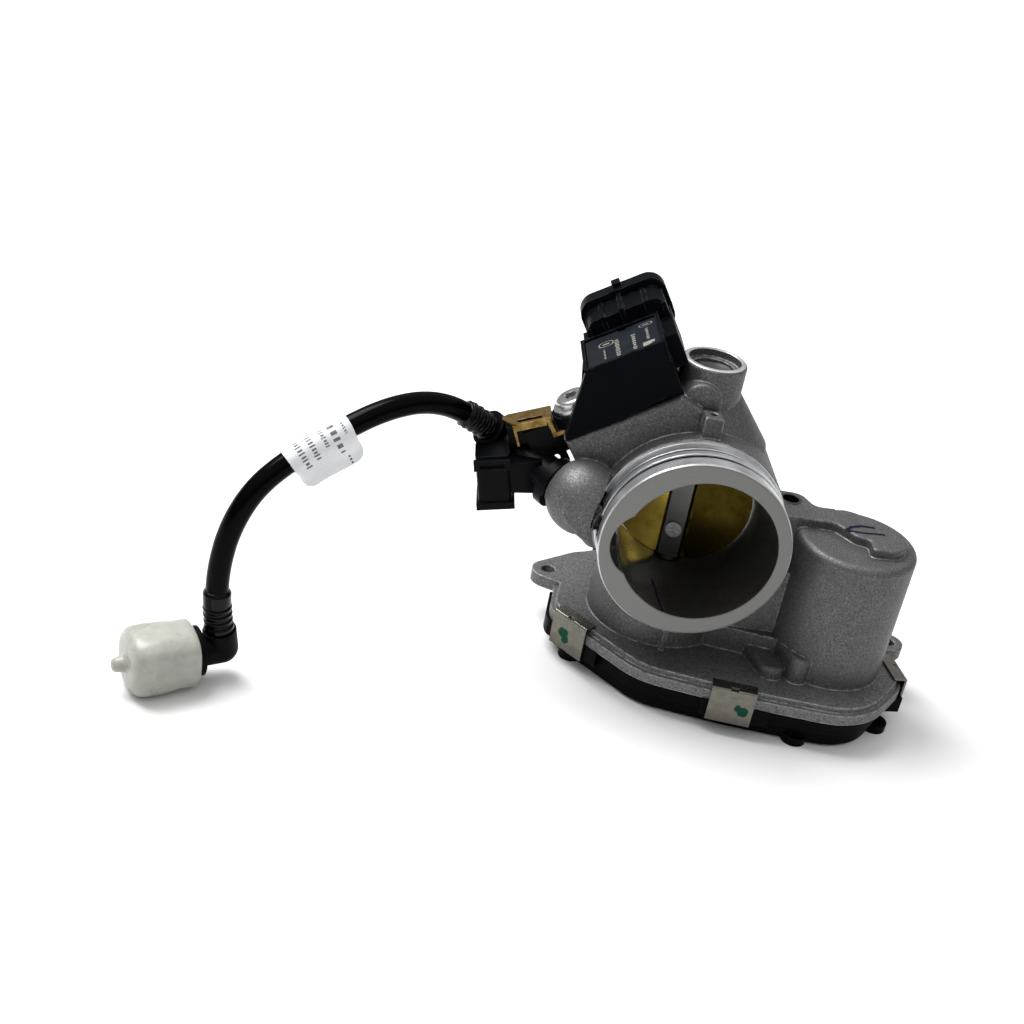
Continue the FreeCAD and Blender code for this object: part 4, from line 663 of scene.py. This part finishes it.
def net_profile(s, length, angle):
    """Swaged net: small pads in staggered rows."""
    tuck = min(1.0, s / 0.8, (length - s) / 0.8)
    row = math.sin(math.pi * s / NET_ROW) ** 2
    stagger = math.pi / NET_PADS if int(s / NET_ROW) % 2 else 0.0
    pads = 0.5 + 0.5 * math.cos(NET_PADS * (angle + stagger))
    return SLEEVE_R + tuck * (0.45 + 0.48 * row * (0.35 + 0.65 * pads))


def cuff_profile(s, length, _):
    """Moulded cuff: smooth top, soft ribs, wide foot. It is the same all the way round."""
    tuck = min(1.0, s + 0.05)
    ribbed = CUFF_TOP < s < length - 0.9
    rib = 0.5 - 0.5 * math.cos(2 * math.pi * (s - CUFF_TOP) / CUFF_RIB) if ribbed else 0.55
    foot = max(0.0, 1 - abs(length - 1.0 - s) / 0.9)
    return min(CUFF_R, SLEEVE_R + tuck * (0.42 + 0.42 * rib) + 0.5 * foot)


def hose_sleeves():
    """The net at the object's end of the hose and the cuff at the connector's."""
    stations = hose_stations()
    end = stations[-1][0]
    material = rubber("sleeve_rubber", (0.0012, 0.0012, 0.0016), 0.08, shine=0.14)
    net = mesh_piece("hose_net", sleeve_rings(stations, 0.1 * MM, 10.6 * MM, net_profile), material)
    cuff = mesh_piece("hose_cuff", sleeve_rings(stations, end - 13.6 * MM, end - 0.05 * MM,
                                                cuff_profile), material)
    for piece in (net, cuff):
        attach(piece, "root")
        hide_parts("hose_sleeves")


def hose_label():
    """Paper strip wrapped once round the hose, its two ends stuck together as a flag. In mm."""
    stations = hose_stations()
    r, start, width, flag = 3.55, 47.6, 19.4, 8.2
    loop = [(r * math.cos(math.radians(a)), r * math.sin(math.radians(a)))
            for a in range(-20, 281, 12)]
    rings, uvs = [], []
    rows, round_off, print_length = 40, 3.2, 19.0
    for i in range(rows + 1):
        u = width * i / rows
        nick = max(0.0, round_off - u, round_off - (width - u)) / round_off
        tail = flag - round_off * 0.9 * (1 - math.sqrt(max(0.0, 1 - nick * nick)))
        curl = 0.30 * math.sin(u * 0.35)
        outer = [(r + 1.3 + curl - 0.12 * (tail - t), -t) for t in (tail, tail * 0.8, tail * 0.6)]
        outer += [(r + 0.35, -3.4), (r + 0.12, -2.2)]
        inner = [(x - 0.22, y) for x, y in reversed(outer)]
        path = outer + loop + inner
        place, front, over = hose_frame(stations, (start + u) * MM)
        gone, last = 0.0, path[0]
        ring = []
        for x, y in path:
            gone += math.hypot(x - last[0], y - last[1])
            last = (x, y)
            ring.append(place + (front * x + over * y) * MM)
            uvs.append((u / 100, max(0.0, print_length - gone) / 100))
        rings.append(ring)
    label = mesh_piece("paper_label", rings, paper(), closed=False, uvs=uvs)
    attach(label, "root")
    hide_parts("hose_label")


# ---------------------------------------------------------------- dust cap
ELBOW = Vector((-0.12758, -0.00512, -0.04778))      # where the hose meets the connector's axis
CAP_HEADING = Vector((-0.872, -0.489, 0.0)).normalized()
# Outlines along the cap's axis: distance from ELBOW and half width, mm, then squareness.
CAP_SOCKET = ((26.0, 0.4), (26.0, 5.5), (25.9, 7.2), (9.0, 7.28), (8.6, 7.45))
CAP_BOX = ((8.55, 8.3, 2.7), (9.0, 8.75, 2.75), (10.5, 8.85, 2.8), (13.0, 8.8, 2.8),
           (15.5, 8.95, 2.9), (18.0, 9.13, 3.0), (21.0, 9.17, 3.0), (23.5, 9.1, 3.0),
           (24.8, 8.9, 2.95), (25.8, 8.4, 2.9), (26.6, 7.6, 2.8), (27.1, 6.5, 2.6),
           (27.35, 5.2, 2.4), (27.4, 3.6, 2.0))
CAP_NUB = ((27.5, 2.7), (28.0, 2.35), (29.2, 2.2), (30.2, 1.95), (30.75, 1.4), (30.95, 0.6))


def cap_ring(at, half, squareness=2.0, dent=0.0):
    """Rounded square (2 is a circle) across the cap's axis, half millimetres out from it."""
    side = Vector((0, 0, 1)).cross(CAP_HEADING)
    middle = ELBOW + CAP_HEADING * at * MM
    ring = []
    for k in range(64):
        angle = 2 * math.pi * k / 64
        c, s = math.cos(angle), math.sin(angle)
        reach = half / (abs(c) ** squareness + abs(s) ** squareness) ** (1 / squareness)
        reach -= dent * (0.5 + 0.5 * math.sin(3 * angle + at * 0.7))
        ring.append(middle + (side * c + Vector((0, 0, 1)) * s) * reach * MM)
    return ring


def dust_cap():
    """Soft push-on cap: socket, thin rim, bulged and slightly dented box, rounded end and nub."""
    rings = [cap_ring(at, half) for at, half in CAP_SOCKET]
    for at, half, squareness in CAP_BOX:
        rings.append(cap_ring(at, half, squareness, 0.12 if 9 < at < 26 else 0.0))
    rings += [cap_ring(at, half) for at, half in CAP_NUB]
    cap = mesh_piece("soft_cap", rings, milky())
    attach(cap, "cap")
    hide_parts("dust_cap")


# ---------------------------------------------------------------- studio
FLOOR_HALF = 12.0
LAMP_AT = Vector((-0.40, 0.20, 0.70))
LAMP_TARGET = Vector((0.0, 0.03, -0.02))
LAMP_SIDE = 0.5
LAMP_WATTS = 10


def studio_floor():
    half = FLOOR_HALF
    mesh = bpy.data.meshes.new("floor")
    mesh.from_pydata([(-half, -half, 0), (half, -half, 0), (half, half, 0), (-half, half, 0)], [],
                     [(0, 1, 2, 3)])
    mesh.materials.append(floor_look())
    floor = bpy.data.objects.new("floor", mesh)
    floor.location = (0, 0, FLOOR_Z)
    bpy.context.scene.collection.objects.link(floor)


def studio_sky():
    """White surroundings: bright overhead and at the horizon, dimmer in between."""
    world = bpy.data.worlds.new("studio")
    world.use_nodes = True
    tree = world.node_tree
    height = tree.nodes.new("ShaderNodeSeparateXYZ")
    tree.links.new(tree.nodes.new("ShaderNodeTexCoord").outputs["Generated"], height.inputs[0])
    glow = tree.nodes.new("ShaderNodeMath")
    glow.operation = "MAXIMUM"
    overhead = (0.08, 0.80, 0.10, 0.95)
    horizon = (0.0, 0.11, 1.0, 0.10)
    for slot, (low, high, start, end) in enumerate((overhead, horizon)):
        ramp = tree.nodes.new("ShaderNodeMapRange")
        ramp.interpolation_type = "SMOOTHSTEP"
        for name, value in (("From Min", low), ("From Max", high), ("To Min", start), ("To Max", end)):
            ramp.inputs[name].default_value = value
        tree.links.new(height.outputs["Z"], ramp.inputs["Value"])
        tree.links.new(ramp.outputs[0], glow.inputs[slot])
    sky = tree.nodes["Background"]
    sky.inputs["Color"].default_value = (1.0, 1.0, 1.0, 1.0)
    tree.links.new(glow.outputs[0], sky.inputs["Strength"])
    bpy.context.scene.world = world
    bpy.context.scene.view_settings.view_transform = "Standard"


def studio_lamp():
    """One square soft lamp, up and behind the object on its left."""
    data = bpy.data.lights.new("key", "AREA")
    data.shape = "RECTANGLE"
    data.size, data.size_y = LAMP_SIDE, LAMP_SIDE
    data.energy = LAMP_WATTS
    lamp = bpy.data.objects.new("key", data)
    lamp.location = LAMP_AT
    lamp.rotation_euler = (LAMP_TARGET - LAMP_AT).to_track_quat("-Z", "Y").to_euler()
    bpy.context.scene.collection.objects.link(lamp)


place_camera()
dress_cad_nodes()
fuel_hose()
hose_sleeves()
hose_label()
dust_cap()
studio_floor()
studio_sky()
studio_lamp()
